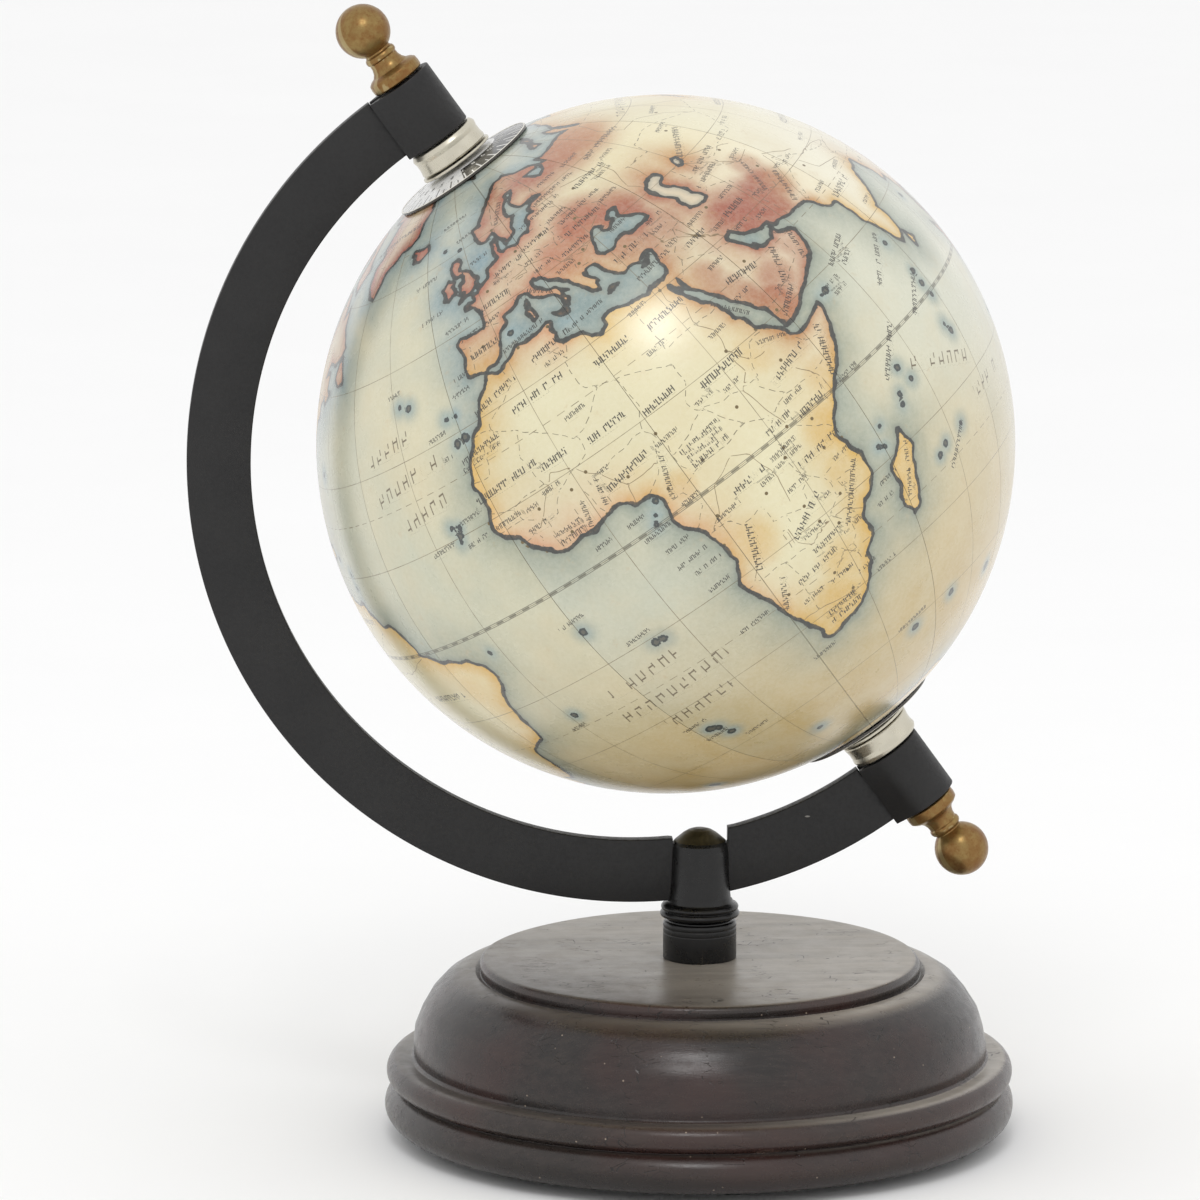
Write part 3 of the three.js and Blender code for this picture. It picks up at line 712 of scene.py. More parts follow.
# ---------- stand ----------
def make_base():
    outline = [
        (2.8, 11.0),
        (9.0, 11.0),
        (9.0, 2.0),
        (53.0, 2.0),
        *arc(54.0, 6.0, 3.9, -78, 62, 14),
        (55.3, 9.6),
        *arc(55.2, 12.3, 2.4, -55, 90, 12),
        (53.2, 14.6),
        (52.6, 15.0),
        (52.75, 17.0),
        (52.3, 20.0),
        (51.2, 23.2),
        (49.4, 26.2),
        (47.2, 28.6),
        (45.0, 30.0),
        (43.2, 30.6),
        (41.4, 30.7),
        (40.4, 30.1),
        (40.3, 30.9),
        *arc(39.2, 31.7, 1.3, 0, 90, 8),
        (2.8, 33.0),
    ]
    points, faces = turned(dense(rounded(outline, 0.5, steps=3, sharper_than=30), 1.6, closed=True), 220)
    wobbled = []
    for x, y, z in points:
        radius, angle = math.hypot(x, y), math.atan2(y, x)
        wave = 0.07 * math.sin(3 * angle + 0.9 * z) + 0.05 * math.sin(7 * angle - 0.4 * z + 1.3)
        wave *= min(1.0, max(0.0, (radius - 12) / 20))
        lift = 0.04 * math.sin(5 * angle + radius * 0.3) if z > BASE_TOP_FLAT else 0.0
        stretch = 1 + wave / max(radius, 1)
        wobbled.append((x * stretch, y * stretch, z + lift))
    piece("turned_base_wood", wobbled, faces, "stand", BASE_FRAME, [wood], "turned_base", "wood_base", 40)


BASE_TOP_FLAT = 32.5
make_base()


def make_foot(index):
    low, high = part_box(f"rubber_foot_{index}")
    middle = (low + high) / 2
    radius, height = (high.x - low.x) / 2 / MM, (high.z - low.z) / MM
    outline = rounded(
        [(0.01, 0.0), (radius - 1.2, 0.0), (radius, 0.5), (radius, height), (0.01, height)],
        0.35,
        closed=False,
    )
    points, faces = turned(outline, 64, closed=False)
    place = Matrix.Translation((middle.x, middle.y, 0))
    cad_node = f"rubber_foot_{index}"
    piece(f"foot_{index}_rubber", points, faces, "stand", place, [rubber], cad_node, "foot_rubber")


for foot_index in range(1, 5):
    make_foot(foot_index)


def make_ferrule():
    radius, bore = 6.75, 2.8
    outline = [(bore, 33.05), (radius, 33.05), (radius, 37.6)]
    for groove, depth in ((37.9, 0.06), (38.9, 0.12)):
        outline += [(radius, groove - 0.15), (radius - depth, groove), (radius, groove + 0.15)]
    outline += [(radius, 39.5), (6.6, 39.9), (6.0, 40.0), (6.0, 40.3), (bore, 40.3)]
    points, faces = turned(rounded(outline, 0.2, steps=3, sharper_than=12), 128)
    piece("ferrule_black", points, faces, "stand", BASE_FRAME, [black_metal], "stem_ferrule", "black_metal")


make_ferrule()


def make_head():
    """The stem's head: a flanged post, slotted for the arm, under a domed cap."""
    dome_base, dome_top = 54.95, 57.35
    body = [
        (0.01, 40.6),
        (6.4, 40.6),
        (7.15, 40.95),
        (7.35, 41.45),
        (7.1, 41.9),
        (6.75, 42.1),
        (7.05, 42.35),
        (7.15, 42.75),
        (6.85, 43.15),
        (6.1, 43.55),
        (5.85, 44.6),
        (5.6, 47.5),
        (5.5, 50.5),
        (5.4, 53.4),
        (5.2, 54.4),
        (4.75, dome_base),
        (3.95, 55.65),
        (3.1, 56.35),
        (2.1, 56.95),
        (1.0, dome_top - 0.08),
        (0.01, dome_top),
    ]
    outline = dense(rounded(body, 0.5, closed=False, sharper_than=4), 1.2)
    points, faces = turned(outline, 96, closed=False)
    mesh = bpy.data.meshes.new("head_blank")
    mesh.from_pydata(points, [], faces)
    slot_mesh = bpy.data.meshes.new("head_slot")
    half, slot_low, slot_high, reach = ARM_THICKNESS / 2 + 0.25, 43.9, ARM_NOTCH[2] + 0.3, 10
    corners = [(x, y, z) for x in (-reach, reach) for y in (-half, half) for z in (slot_low, slot_high)]
    quads = [(0, 1, 3, 2), (4, 6, 7, 5), (0, 4, 5, 1), (2, 3, 7, 6), (0, 2, 6, 4), (1, 5, 7, 3)]
    slot_mesh.from_pydata(corners, [], quads)
    head = bpy.data.objects.new("head_blank", mesh)
    cutter = bpy.data.objects.new("head_slot", slot_mesh)
    for helper in (head, cutter):
        bpy.context.scene.collection.objects.link(helper)
    cut = head.modifiers.new("slot", "BOOLEAN")
    cut.operation, cut.object, cut.solver = "DIFFERENCE", cutter, "EXACT"
    bpy.context.view_layer.update()
    done = bpy.data.meshes.new_from_object(head.evaluated_get(bpy.context.evaluated_depsgraph_get()))
    for helper in (head, cutter):
        bpy.data.objects.remove(helper)
    for face in done.polygons:
        face.material_index = 1 if face.center.z > dome_base else 0
    metals = [black_metal, dome_metal]
    finish_piece("stem_head_black", done, "stand", BASE_FRAME, metals, "stem_head", "black_metal", 28)


make_head()


def arm_point(radius, angle):
    """A point on the arm's circle, across and along the axle. Angles run from the open side."""
    return (ARM_CENTRE[0] + radius * math.cos(angle), ARM_CENTRE[1] + radius * math.sin(angle))


def make_arm():
    """The C-shaped plate, with a tongue at each end and a notch over the stem's head."""
    seam = -COLLAR_SEAM - 0.06
    tip = seam + 2.6
    outer_low, inner_low = COLLAR_END - 1.2, COLLAR_START + 1.2
    start_outer = math.acos((seam - ARM_CENTRE[0]) / ARM_OUTER_RADIUS)
    start_inner = math.acos((seam - ARM_CENTRE[0]) / ARM_INNER_RADIUS)
    steps = 200
    outline = []
    for i in range(steps + 1):
        angle = start_outer + (2 * math.pi - 2 * start_outer) * i / steps
        outline.append(arm_point(ARM_OUTER_RADIUS, angle))
    outline += [(seam, -outer_low), (tip, -outer_low), (tip, -inner_low), (seam, -inner_low)]
    left, right, floor = ARM_NOTCH
    sine, cosine = math.sin(TILT), math.cos(TILT)
    ball_x, ball_z = BALL_CENTRE.x / MM - BASE_X / MM, BALL_CENTRE.z / MM

    def to_world(point):
        return (ball_x + point[0] * cosine - point[1] * sine, ball_z + point[0] * sine + point[1] * cosine)

    def to_local(point):
        x, z = point[0] - ball_x, point[1] - ball_z
        return (x * cosine + z * sine, -x * sine + z * cosine)

    in_notch = False
    for i in range(steps + 1):
        angle = 2 * math.pi - start_inner - (2 * math.pi - 2 * start_inner) * i / steps
        point = arm_point(ARM_INNER_RADIUS, angle)
        x, z = to_world(point)
        inside = left < x < right and z < ball_z
        if inside and not in_notch:
            outline += [to_local((right, z + 0.1)), to_local((right, floor)), to_local((left, floor))]
            outline.append(None)
        if not inside:
            if in_notch:
                outline[outline.index(None)] = to_local((left, z - 0.1))
            outline.append(point)
        in_notch = inside
    outline += [(seam, inner_low), (tip, inner_low), (tip, outer_low), (seam, outer_low)]
    place = POLAR_FRAME @ Matrix.Rotation(math.pi / 2, 4, "X")
    half = ARM_THICKNESS / 2
    use = {"cad_node": "globe_arm", "slot": "arm_paint"}
    plate("arm_plate", [outline], -half, half, EDGE_ROUND, "stand", place, [arm_paint], **use)


make_arm()


def make_collar(end, place):
    """A sleeve round the axle, whose two flats close on the arm's end."""
    reach = math.hypot(COLLAR_SEAM, COLLAR_SEAM_HALF)
    tangent = math.atan2(COLLAR_SEAM_HALF, -COLLAR_SEAM) - math.acos(COLLAR_RADIUS / reach)
    nose = [
        (COLLAR_RADIUS * math.cos(a), COLLAR_RADIUS * math.sin(a)) for a in np.linspace(-tangent, tangent, 49)
    ]
    slot_half, slot_end = ARM_THICKNESS / 2 + 0.1, -COLLAR_SEAM + 2.7
    outline = [
        (-COLLAR_SEAM, -COLLAR_SEAM_HALF),
        *nose,
        (-COLLAR_SEAM, COLLAR_SEAM_HALF),
        (-COLLAR_SEAM, slot_half),
        (slot_end, slot_half),
        (slot_end, -slot_half),
        (-COLLAR_SEAM, -slot_half),
    ]
    bore = [(AXLE_BORE * math.cos(a), -AXLE_BORE * math.sin(a)) for a in np.linspace(0, 2 * math.pi, 33)[:-1]]
    name, loops = f"{end}_collar_sleeve", [outline, bore]
    use = {"cad_node": f"{end}_collar", "slot": "arm_paint"}
    plate(name, loops, COLLAR_START, COLLAR_END, EDGE_ROUND, "stand", place, [arm_paint], **use)


def make_finial(end, place):
    base = COLLAR_END + 0.3
    ball_radius, ball_centre = 4.95, 11.0
    outline = [
        (AXLE_BORE, 0.0),
        (4.7, 0.0),
        (5.0, 0.3),
        (5.05, 1.2),
        (4.95, 2.0),
        (4.4, 2.45),
        (3.6, 2.8),
        (3.1, 3.4),
        (2.8, 4.2),
        (2.75, 5.0),
        (3.0, 5.3),
        (3.05, 5.75),
        (2.9, 6.15),
        (2.62, 6.4),
        *arc(0, ball_centre, ball_radius, -60, 89.7, 26),
    ]
    profile = [(r, base + z) for r, z in rounded(outline, 0.3, closed=False, steps=4, sharper_than=20)]
    profile = [(AXLE_BORE, base + 9.0)] + profile
    points, faces = turned(profile, 96, closed=False)
    piece(f"{end}_finial_brass", points, faces, "stand", place, [brass], f"{end}_finial", "antique_brass")


def make_bushing(end, place):
    start, stop, radius = 65.4, 69.6, 6.75
    outline = [
        (AXLE_BORE, start),
        (radius - 0.1, start),
        (radius, start + 0.35),
        (radius - 0.2, start + 1.4),
        (radius - 0.22, start + 2.4),
        (radius - 0.02, stop - 0.9),
        (radius - 0.4, stop - 0.2),
        (radius - 0.9, stop),
        (AXLE_BORE, stop),
    ]
    points, faces = turned(rounded(outline, 0.4, steps=4, sharper_than=12), 128)
    piece(f"{end}_bushing_nickel", points, faces, "stand", place, [nickel], f"{end}_bushing", "nickel")


def make_spacer(end, place):
    outline = [(AXLE_BORE, 64.6), (7.1, 64.6), (7.1, 65.1), (AXLE_BORE, 65.1)]
    points, faces = turned(rounded(outline, 0.15, steps=3), 128)
    piece(f"{end}_spacer_nickel", points, faces, "stand", place, [nickel], f"{end}_spacer", "nickel")


def dial_height(radius, lift=0.0):
    """Height along the axle of the dial's upper surface at a radius."""
    return math.sqrt((GLOBE_RADIUS + 0.65 + lift) ** 2 - radius**2)


def make_dial(end, place):
    """An hour dial, domed like the ball, with a raised rim, a tick scale and small numerals."""
    bottom = [(r, math.sqrt((GLOBE_RADIUS + 0.3) ** 2 - r * r)) for r in np.linspace(2.4, DIAL_RADIUS, 12)]
    top = [(r, dial_height(r)) for r in np.linspace(DIAL_RADIUS - DIAL_RIM - 0.05, 2.4, 12)]
    rim_top = dial_height(DIAL_RADIUS) + 0.14
    rim = [(DIAL_RADIUS + 0.03, bottom[-1][1] + 0.1), (DIAL_RADIUS + 0.03, rim_top - 0.12)]
    rim += [(DIAL_RADIUS - 0.08, rim_top), (DIAL_RADIUS - DIAL_RIM + 0.1, rim_top + 0.03)]
    points, faces = turned(bottom + rim + top, 144)
    materials = [0] * len(faces)
    for hour in range(DIAL_HOURS):
        text = bpy.data.curves.new("numeral", "FONT")
        text.body = str(hour % 12 + 1)
        text.size, text.align_x, text.align_y = 1.7, "CENTER", "CENTER"
        helper = bpy.data.objects.new("numeral", text)
        bpy.context.scene.collection.objects.link(helper)
        bpy.context.view_layer.update()
        flat = helper.to_mesh()
        angle = math.radians(hour * 360 / DIAL_HOURS)
        turn = Matrix.Rotation(angle - math.pi / 2, 4, "Z")
        first = len(points)
        for vertex in flat.vertices:
            spot = turn @ Vector((vertex.co.x, vertex.co.y + NUMERAL_RADIUS, 0))
            points.append((spot.x, spot.y, dial_height(math.hypot(spot.x, spot.y), 0.03)))
        for face in flat.polygons:
            faces.append(tuple(first + v for v in face.vertices))
            materials.append(1)
        helper.to_mesh_clear()
        bpy.data.objects.remove(helper)
        bpy.data.curves.remove(text)
    mesh = bpy.data.meshes.new(f"{end}_dial_enamel")
    mesh.from_pydata(points, [], faces)
    mesh.polygons.foreach_set("material_index", materials)
    add_vectors(mesh, "disc", [(x, y, 0) for x, y, _ in points])
    body = f"{end}_hour_dial"
    finish_piece(
        f"{end}_dial_enamel", mesh, body, place, [dial_enamel, dial_ink], f"{end}_dial", "dial_enamel", 40
    )


for end_name, end_place in (("north", POLAR_FRAME), ("south", SOUTH_FRAME)):
    make_collar(end_name, end_place)
    make_finial(end_name, end_place)
    make_bushing(end_name, end_place)
    make_spacer(end_name, end_place)
    make_dial(end_name, end_place)

for cad_name, cad_material in (
    ("stem_stud", steel),
    ("stud_washer", steel),
    ("stud_nut", steel),
    ("polar_axle", steel),
    ("north_hemisphere", shell_plastic),
    ("south_hemisphere", shell_plastic),
    ("joining_ring", shell_plastic),
    ("north_pole_bearing", bearing_plastic),
    ("south_pole_bearing", bearing_plastic),
):
    cad_object = frame["nodes"][cad_name]
    cad_object.data.materials.clear()
    cad_object.data.materials.append(cad_material)

# ---------- the printed map: outlines as (longitude, latitude) ----------
AFRICA = [
    (-5.9, 35.8), (-2.9, 35.2), (0, 35.9), (3, 36.9), (7.8, 36.9), (10, 37.3), (11.1, 36.9), (10.4, 35.8),
    (10.9, 35.2), (10.1, 34.1), (11.2, 33.2), (13.2, 32.9), (15.2, 32.3), (16.2, 31.2), (18.2, 30.4),
    (20, 31), (20.1, 32.2), (21.7, 32.9), (23.1, 32.4), (25.1, 31.6), (29, 30.9), (30.4, 31.4),
    (31.2, 31.5), (32.4, 31.3), (32.4, 29.9), (32.8, 28.8), (33.7, 27.6), (34.2, 26.2), (35.2, 24.4),
    (35.6, 23.8), (36.9, 22), (37.3, 20.7), (37.4, 18.8), (38.5, 18), (39.3, 15.8), (40.9, 14.6),
    (42.4, 13.1), (43.2, 12), (42.9, 11.4), (44.3, 10.5), (46.5, 10.8), (49, 11.3), (51.2, 11.9),
    (51, 10.4), (49.9, 8.2), (48.5, 5.3), (47, 3.4), (45.3, 2), (43.4, 0.2), (41.6, -1.6), (40.1, -3),
    (39.4, -4.3), (38.8, -6), (39.5, -7.6), (39.7, -9), (40.5, -10.4), (40.6, -12.8), (40.7, -14.9),
    (39.4, -16.6), (37, -17.9), (34.9, -19.8), (35.4, -21.5), (35.5, -23.8), (33, -25.2), (32.8, -27),
    (31.6, -29.4), (29.4, -31.9), (27.6, -33.2), (25.6, -34), (22.4, -34.1), (20, -34.8), (18.4, -34.1),
    (18.2, -32.3), (17.1, -30), (16.3, -28.4), (15.2, -26.6), (14.5, -22.9), (13.2, -20.4), (11.9, -18),
    (11.8, -16), (12.6, -13.8), (13.6, -12.3), (13.2, -8.9), (12.3, -6.1), (11.4, -4.3), (9.6, -2.3),
    (8.8, -0.7), (9.5, 1), (9.8, 3), (9.4, 4.1), (8.5, 4.7), (7.1, 4.4), (6, 4.4), (5, 5.8), (4.2, 6.4),
    (2.5, 6.4), (0.8, 5.8), (-2, 4.8), (-4.2, 5.3), (-7.5, 4.4), (-9.2, 5.3), (-11.2, 6.7), (-13.1, 8.4),
    (-13.9, 9.9), (-15.3, 11.2), (-16.8, 12.6), (-17.4, 14.7), (-16.4, 16.3), (-16.1, 18.4), (-16.5, 19.8),
    (-17, 21), (-16, 23.6), (-14.7, 25.7), (-12.9, 27.8), (-10.6, 29), (-9.7, 30.8), (-8.9, 32.8),
    (-6.9, 34),
]
EURASIA = [
    (-5.6, 36), (-6.4, 36.8), (-7.5, 37.1), (-8.9, 37), (-9.4, 38.7), (-8.8, 40.2), (-8.9, 42),
    (-9.2, 43.1), (-7.9, 43.7), (-4, 43.4), (-1.8, 43.4), (-1.2, 44.6), (-1.1, 46), (-2.3, 47.3),
    (-4.7, 48), (-4.4, 48.7), (-1.6, 48.7), (-1.7, 49.7), (0.1, 49.6), (1.6, 50.8), (3.6, 51.5), (4.8, 53),
    (7, 53.5), (8.8, 53.8), (8.2, 55.5), (8.3, 57), (10.5, 57.7), (10.3, 56.4), (9.9, 54.9), (11, 54.1),
    (12.5, 54.4), (14.2, 53.9), (16.5, 54.4), (18.6, 54.6), (19.8, 54.5), (21, 55.6), (21.3, 57.2),
    (22.6, 57.7), (24.3, 57.3), (23.6, 58.7), (25.5, 59.5), (28, 59.6), (30, 59.9), (28, 60.5), (25, 60.2),
    (22.5, 60.1), (21.3, 61.5), (21.5, 63), (24.5, 64.8), (25.2, 65.5), (23.5, 65.9), (22, 65.5),
    (21.2, 64.4), (18.8, 63.1), (17.4, 61.8), (17.2, 60.6), (18.8, 59.9), (17.5, 58.7), (16.6, 57.5),
    (16.2, 56.3), (14.3, 55.6), (13, 55.4), (12.6, 56.6), (11.7, 58), (10.7, 59.3), (9.4, 58.9), (7.3, 58),
    (5.7, 58.9), (5.1, 60.4), (5.3, 62), (8, 63.5), (10.5, 64.6), (12.6, 66.2), (14.8, 67.7), (16.2, 68.7),
    (19, 69.8), (23.5, 70.8), (28, 71), (31, 70.2), (34, 69.3), (38.5, 68.2), (41, 67), (38.5, 66.2),
    (34.5, 66.7), (33, 66.6), (34.8, 64.6), (37, 63.9), (39.8, 64.7), (41.2, 66.3), (44, 66.2),
    (43.8, 68.4), (46.5, 67.9), (53.5, 68.5), (60, 69), (65, 69.2), (68.5, 68.4), (67.2, 70.5), (67.5, 72),
    (70.2, 73.1), (72.8, 71.6), (72.4, 69.2), (73.6, 67.2), (74.6, 68.8), (74.8, 72.2), (80.5, 73.6),
    (87, 75), (98, 76.2), (104.3, 77.6), (113, 75.8), (109, 73.8), (119, 73.1), (127, 73.3), (130.5, 71),
    (140, 72.5), (150, 71.5), (160, 69.8), (170, 70), (176, 69.8), (181, 68.9), (186, 67), (190, 66.1),
    (186.5, 64.8), (181, 65.3), (177.5, 64.6), (179.2, 62.6), (174.3, 61.8), (170.3, 60), (164, 59.9),
    (162.2, 57.6), (162.8, 56.1), (159.8, 53.1), (156.8, 51), (155.6, 54), (155.8, 57), (160, 60.3),
    (163.6, 62.3), (159.5, 61.6), (155, 59.5), (150.8, 59.5), (143, 59.2), (137, 55), (139.6, 54),
    (141.2, 52.4), (140.4, 49), (137, 45.2), (132.2, 43.2), (129.8, 41.2), (127.6, 39.6), (129.3, 37),
    (129.2, 35.3), (126.5, 34.5), (126.6, 37.3), (125, 38.2), (124, 39.9), (121.4, 39), (121.5, 40.7),
    (118, 39.1), (119.2, 37.4), (122.4, 37.2), (119.6, 35.4), (121.2, 32.8), (121.9, 31), (121.8, 29.2),
    (119.6, 26), (117, 23.6), (113.8, 22.4), (110.6, 21.2), (108.3, 21.6), (105.9, 19), (108.6, 15.8),
    (109.3, 12.2), (106.9, 10.4), (104.9, 8.7), (104.6, 10.3), (102.4, 12), (100.7, 13.4), (99.4, 10),
    (100.6, 7.2), (103.2, 4.6), (103.9, 1.4), (101.4, 2.9), (100.3, 5.5), (98.4, 8), (98.6, 12),
    (97.5, 16.2), (94.4, 16), (94, 18.8), (92.2, 20.9), (91.2, 22.6), (89, 21.7), (87, 21.3), (85.2, 19.6),
    (82.3, 16.7), (80.2, 15.4), (80.2, 13), (79.8, 10.3), (78.2, 8.9), (77.5, 8.1), (76.3, 10), (74.8, 13),
    (73.4, 16.2), (72.8, 19), (72.6, 21.2), (70.5, 20.9), (69, 22.3), (68.3, 23.7), (66.7, 25.2),
    (61.7, 25.1), (57.4, 25.7), (56.4, 27), (54.4, 26.7), (51.4, 28), (49.9, 30.1), (48.4, 29.9),
    (48, 29.3), (49, 27.6), (50.2, 26.4), (50.8, 24.9), (51.2, 26), (51.7, 24.5), (54.2, 24.2), (56, 25.5),
    (56.4, 26.3), (56.5, 24.8), (58.6, 23.6), (59.8, 22.5), (58.4, 20.3), (57.6, 18.9), (55.2, 17.4),
    (52.2, 15.6), (48.7, 14), (45, 12.8), (43.5, 12.7), (42.8, 15.2), (42.5, 16.8), (40.9, 19.6),
    (39.1, 21.6), (37.3, 24.4), (35.6, 27.1), (34.9, 29.4), (34.3, 27.9), (33.2, 28.9), (32.6, 29.8),
    (31.8, 29.9), (31.8, 30.9), (32.6, 31.1), (34.3, 31.3), (35, 32.8), (35.8, 34.8), (36, 36.4),
    (34.4, 36.6), (32.6, 36.1), (30.6, 36.8), (29, 36.4), (27.5, 36.9), (26.5, 38.4), (26.2, 39.6),
    (26.3, 40.2), (25.6, 40.8), (24, 40.7), (23.4, 40.1), (22.8, 40.5), (22.9, 39.4), (24, 38),
    (23.2, 37.8), (23.1, 36.5), (21.8, 36.9), (21.2, 38.2), (20, 39.8), (19.4, 41.4), (18.4, 42.4),
    (15.6, 43.8), (14.4, 45.2), (13.6, 45.1), (13.2, 45.7), (12.3, 45.3), (12.5, 44.1), (14.1, 42.4),
    (16, 41.8), (18.4, 40.1), (17, 40.5), (16.7, 39.6), (17.1, 39), (16, 38), (15.8, 39.9), (14.3, 40.8),
    (12.3, 41.7), (10.5, 42.9), (10.1, 44), (8.8, 44.4), (7.2, 43.7), (5.2, 43.4), (3.2, 43.1), (3.1, 41.9),
    (0.7, 40.8), (-0.3, 39.4), (0.1, 38.7), (-0.8, 37.6), (-2.1, 36.8), (-4.4, 36.7),
]
NORTH_AMERICA = [
    (-77.2, 8.4), (-79.6, 9.5), (-82, 9), (-83.7, 11), (-83.2, 15), (-86, 15.9), (-88.6, 15.9), (-88, 18.4),
    (-86.8, 21.4), (-90.3, 21.2), (-90.9, 19.2), (-94.5, 18.2), (-96.3, 19.3), (-97.7, 22.3), (-97.3, 26),
    (-97, 28), (-94.7, 29.4), (-91.3, 29.4), (-89.3, 29.1), (-88, 30.3), (-85.3, 29.7), (-83.8, 30),
    (-82.7, 28), (-81.8, 26), (-80.4, 25.2), (-80, 26.8), (-81.4, 30.5), (-79.2, 33.2), (-75.6, 35.2),
    (-76, 37), (-74, 40.4), (-70, 41.8), (-70.7, 43.2), (-67, 44.7), (-65.7, 43.5), (-61, 45.3),
    (-64.5, 46.3), (-64.5, 48.8), (-69, 48.3), (-66.5, 50.2), (-60, 50.2), (-57, 51.4), (-55.7, 53),
    (-58.5, 55), (-61.8, 57.5), (-64.6, 60.3), (-67, 58.3), (-70, 60.9), (-73.7, 62.3), (-77.8, 62.4),
    (-77.3, 60), (-78.5, 58.8), (-76.6, 57), (-79, 54.5), (-79, 51.5), (-82, 52.9), (-82.3, 55.2),
    (-87, 56), (-92.5, 57), (-94.7, 60), (-93, 62), (-90, 63.6), (-87, 64.7), (-86, 66.2), (-82, 66.5),
    (-81.5, 69), (-85.5, 69.5), (-88, 68.3), (-91, 69.5), (-94, 71.8), (-96, 68.3), (-102, 67.8),
    (-108.5, 68), (-115, 67.9), (-116, 69), (-123.5, 69.5), (-128, 70.4), (-135, 69), (-141, 69.6),
    (-150, 70.5), (-156.6, 71.3), (-163, 69.5), (-166.3, 68.3), (-162, 66.5), (-168, 65.6), (-161, 64.5),
    (-165, 62.5), (-166, 61.5), (-162, 60), (-162, 58.7), (-158, 58.5), (-158.5, 56.6), (-164.8, 54.7),
    (-158, 55.9), (-154, 58), (-150.5, 61), (-151.8, 59.3), (-148, 60), (-144, 60), (-139.8, 59.6),
    (-136, 58.2), (-133.5, 56), (-130.5, 54.5), (-128, 52), (-124.8, 49.8), (-122.8, 48.8), (-124.6, 48.3),
    (-124, 45), (-124.3, 42.5), (-124, 40.3), (-122.4, 37.6), (-120.6, 34.5), (-117.2, 32.6), (-115.8, 30),
    (-114.3, 27.9), (-112.2, 25.2), (-110, 22.9), (-111, 25.5), (-112.8, 28.5), (-114.8, 31.6),
    (-112.8, 30.8), (-111, 28), (-109.3, 25.7), (-106, 23), (-105.6, 20.4), (-102, 18), (-97, 15.9),
    (-94.5, 16.2), (-92, 14.4), (-87.6, 13), (-85.8, 10.9), (-83.6, 8.5), (-81, 7.4), (-80, 8.3),
    (-79.4, 8.9), (-78.4, 8.2), (-77.4, 7.6),
]
SOUTH_AMERICA = [
    (-76.6, 9), (-75.5, 10.7), (-74, 11.3), (-71.7, 12.3), (-71.3, 10.8), (-70, 12), (-68.2, 10.6),
    (-64.5, 10.2), (-61.9, 10.7), (-60.5, 8.6), (-57.5, 6.3), (-54, 5.9), (-51.6, 4.2), (-50, 1.7),
    (-50, 0), (-48, -0.8), (-44.3, -2.6), (-41.5, -2.9), (-38.5, -3.7), (-35.4, -5.2), (-34.8, -7.5),
    (-35.6, -9.6), (-37.4, -11.5), (-38.7, -13.2), (-39, -16), (-39.7, -19.5), (-41, -22), (-44.5, -23.2),
    (-46.5, -24.1), (-48.6, -26), (-48.7, -28.5), (-50.5, -31), (-53.4, -33.8), (-55, -34.9), (-58, -34.2),
    (-57.2, -36.2), (-58, -38.2), (-62, -39), (-62.4, -40.8), (-65, -41), (-64.2, -42.5), (-65.5, -44.5),
    (-67.5, -46), (-65.8, -47.5), (-68.2, -50), (-68.4, -52.3), (-65.2, -54.7), (-68.3, -55.6), (-72, -54),
    (-74.5, -52), (-75.5, -48.5), (-74.5, -45.5), (-72.8, -42), (-73.5, -39.5), (-73.5, -37.2),
    (-71.6, -33), (-71.5, -30), (-70.4, -25), (-70.3, -18.4), (-73, -16.5), (-76.2, -13.9), (-77.2, -12),
    (-79.5, -7.5), (-81.3, -4.7), (-80, -3.2), (-80.9, -2.2), (-80, 0.3), (-78.8, 1.7), (-77.3, 3.8),
    (-77.6, 6.6), (-78, 8.2), (-77.6, 8.9),
]
GREENLAND = [
    (-44, 60), (-42.4, 62), (-40.5, 65), (-37, 65.8), (-33, 67.8), (-26, 68.7), (-22.3, 70.4), (-22, 72.5),
    (-19.5, 75), (-18.5, 77.5), (-17, 80.2), (-12, 81.6), (-25, 82.8), (-35, 83.5), (-48, 82.4),
    (-60, 81.8), (-66, 80), (-73, 78.2), (-68.5, 76), (-60, 76), (-56.5, 73.5), (-54, 70.5), (-51, 69.2),
    (-53.5, 67), (-52, 64.5), (-50, 62.2), (-47.5, 60.8),
]
AUSTRALIA = [
    (113.7, -22.6), (114.2, -26.3), (115.7, -31.7), (115, -34.3), (118, -35), (123.5, -33.9), (129, -31.7),
    (131.5, -31.5), (134, -32.8), (135.6, -34.8), (137.8, -33.2), (138.3, -34.8), (140.5, -38),
    (143.5, -38.8), (146.4, -39.1), (150, -37.5), (151.2, -33.9), (153, -31), (153.6, -28.6),
    (152.9, -25.3), (150.8, -23.5), (148.5, -20.2), (146.2, -18.8), (145.4, -15), (142.6, -10.8),
    (141.6, -13), (140.9, -17.4), (139.2, -17.4), (135.6, -15), (136.7, -12.2), (132.6, -11.4),
    (130.8, -12.4), (129.6, -15), (127, -13.9), (123.6, -17.3), (122.2, -18), (118.6, -20.3), (115, -21.6),
]
ANTARCTICA = [
    (-180, -78.5), (-160, -78), (-150, -77), (-130, -74), (-100, -72.5), (-80, -73), (-68, -70),
    (-66, -66.5), (-57.5, -63.4), (-61, -66), (-62, -72), (-60, -75), (-40, -78), (-25, -76), (-15, -72.5),
    (0, -70), (20, -70), (40, -69), (55, -66), (70, -68.5), (74, -70), (80, -67.5), (100, -66),
    (120, -66.8), (140, -66.5), (160, -69.5), (170, -72), (165, -77.5), (180, -78.5), (180, -90),
    (-180, -90),
]
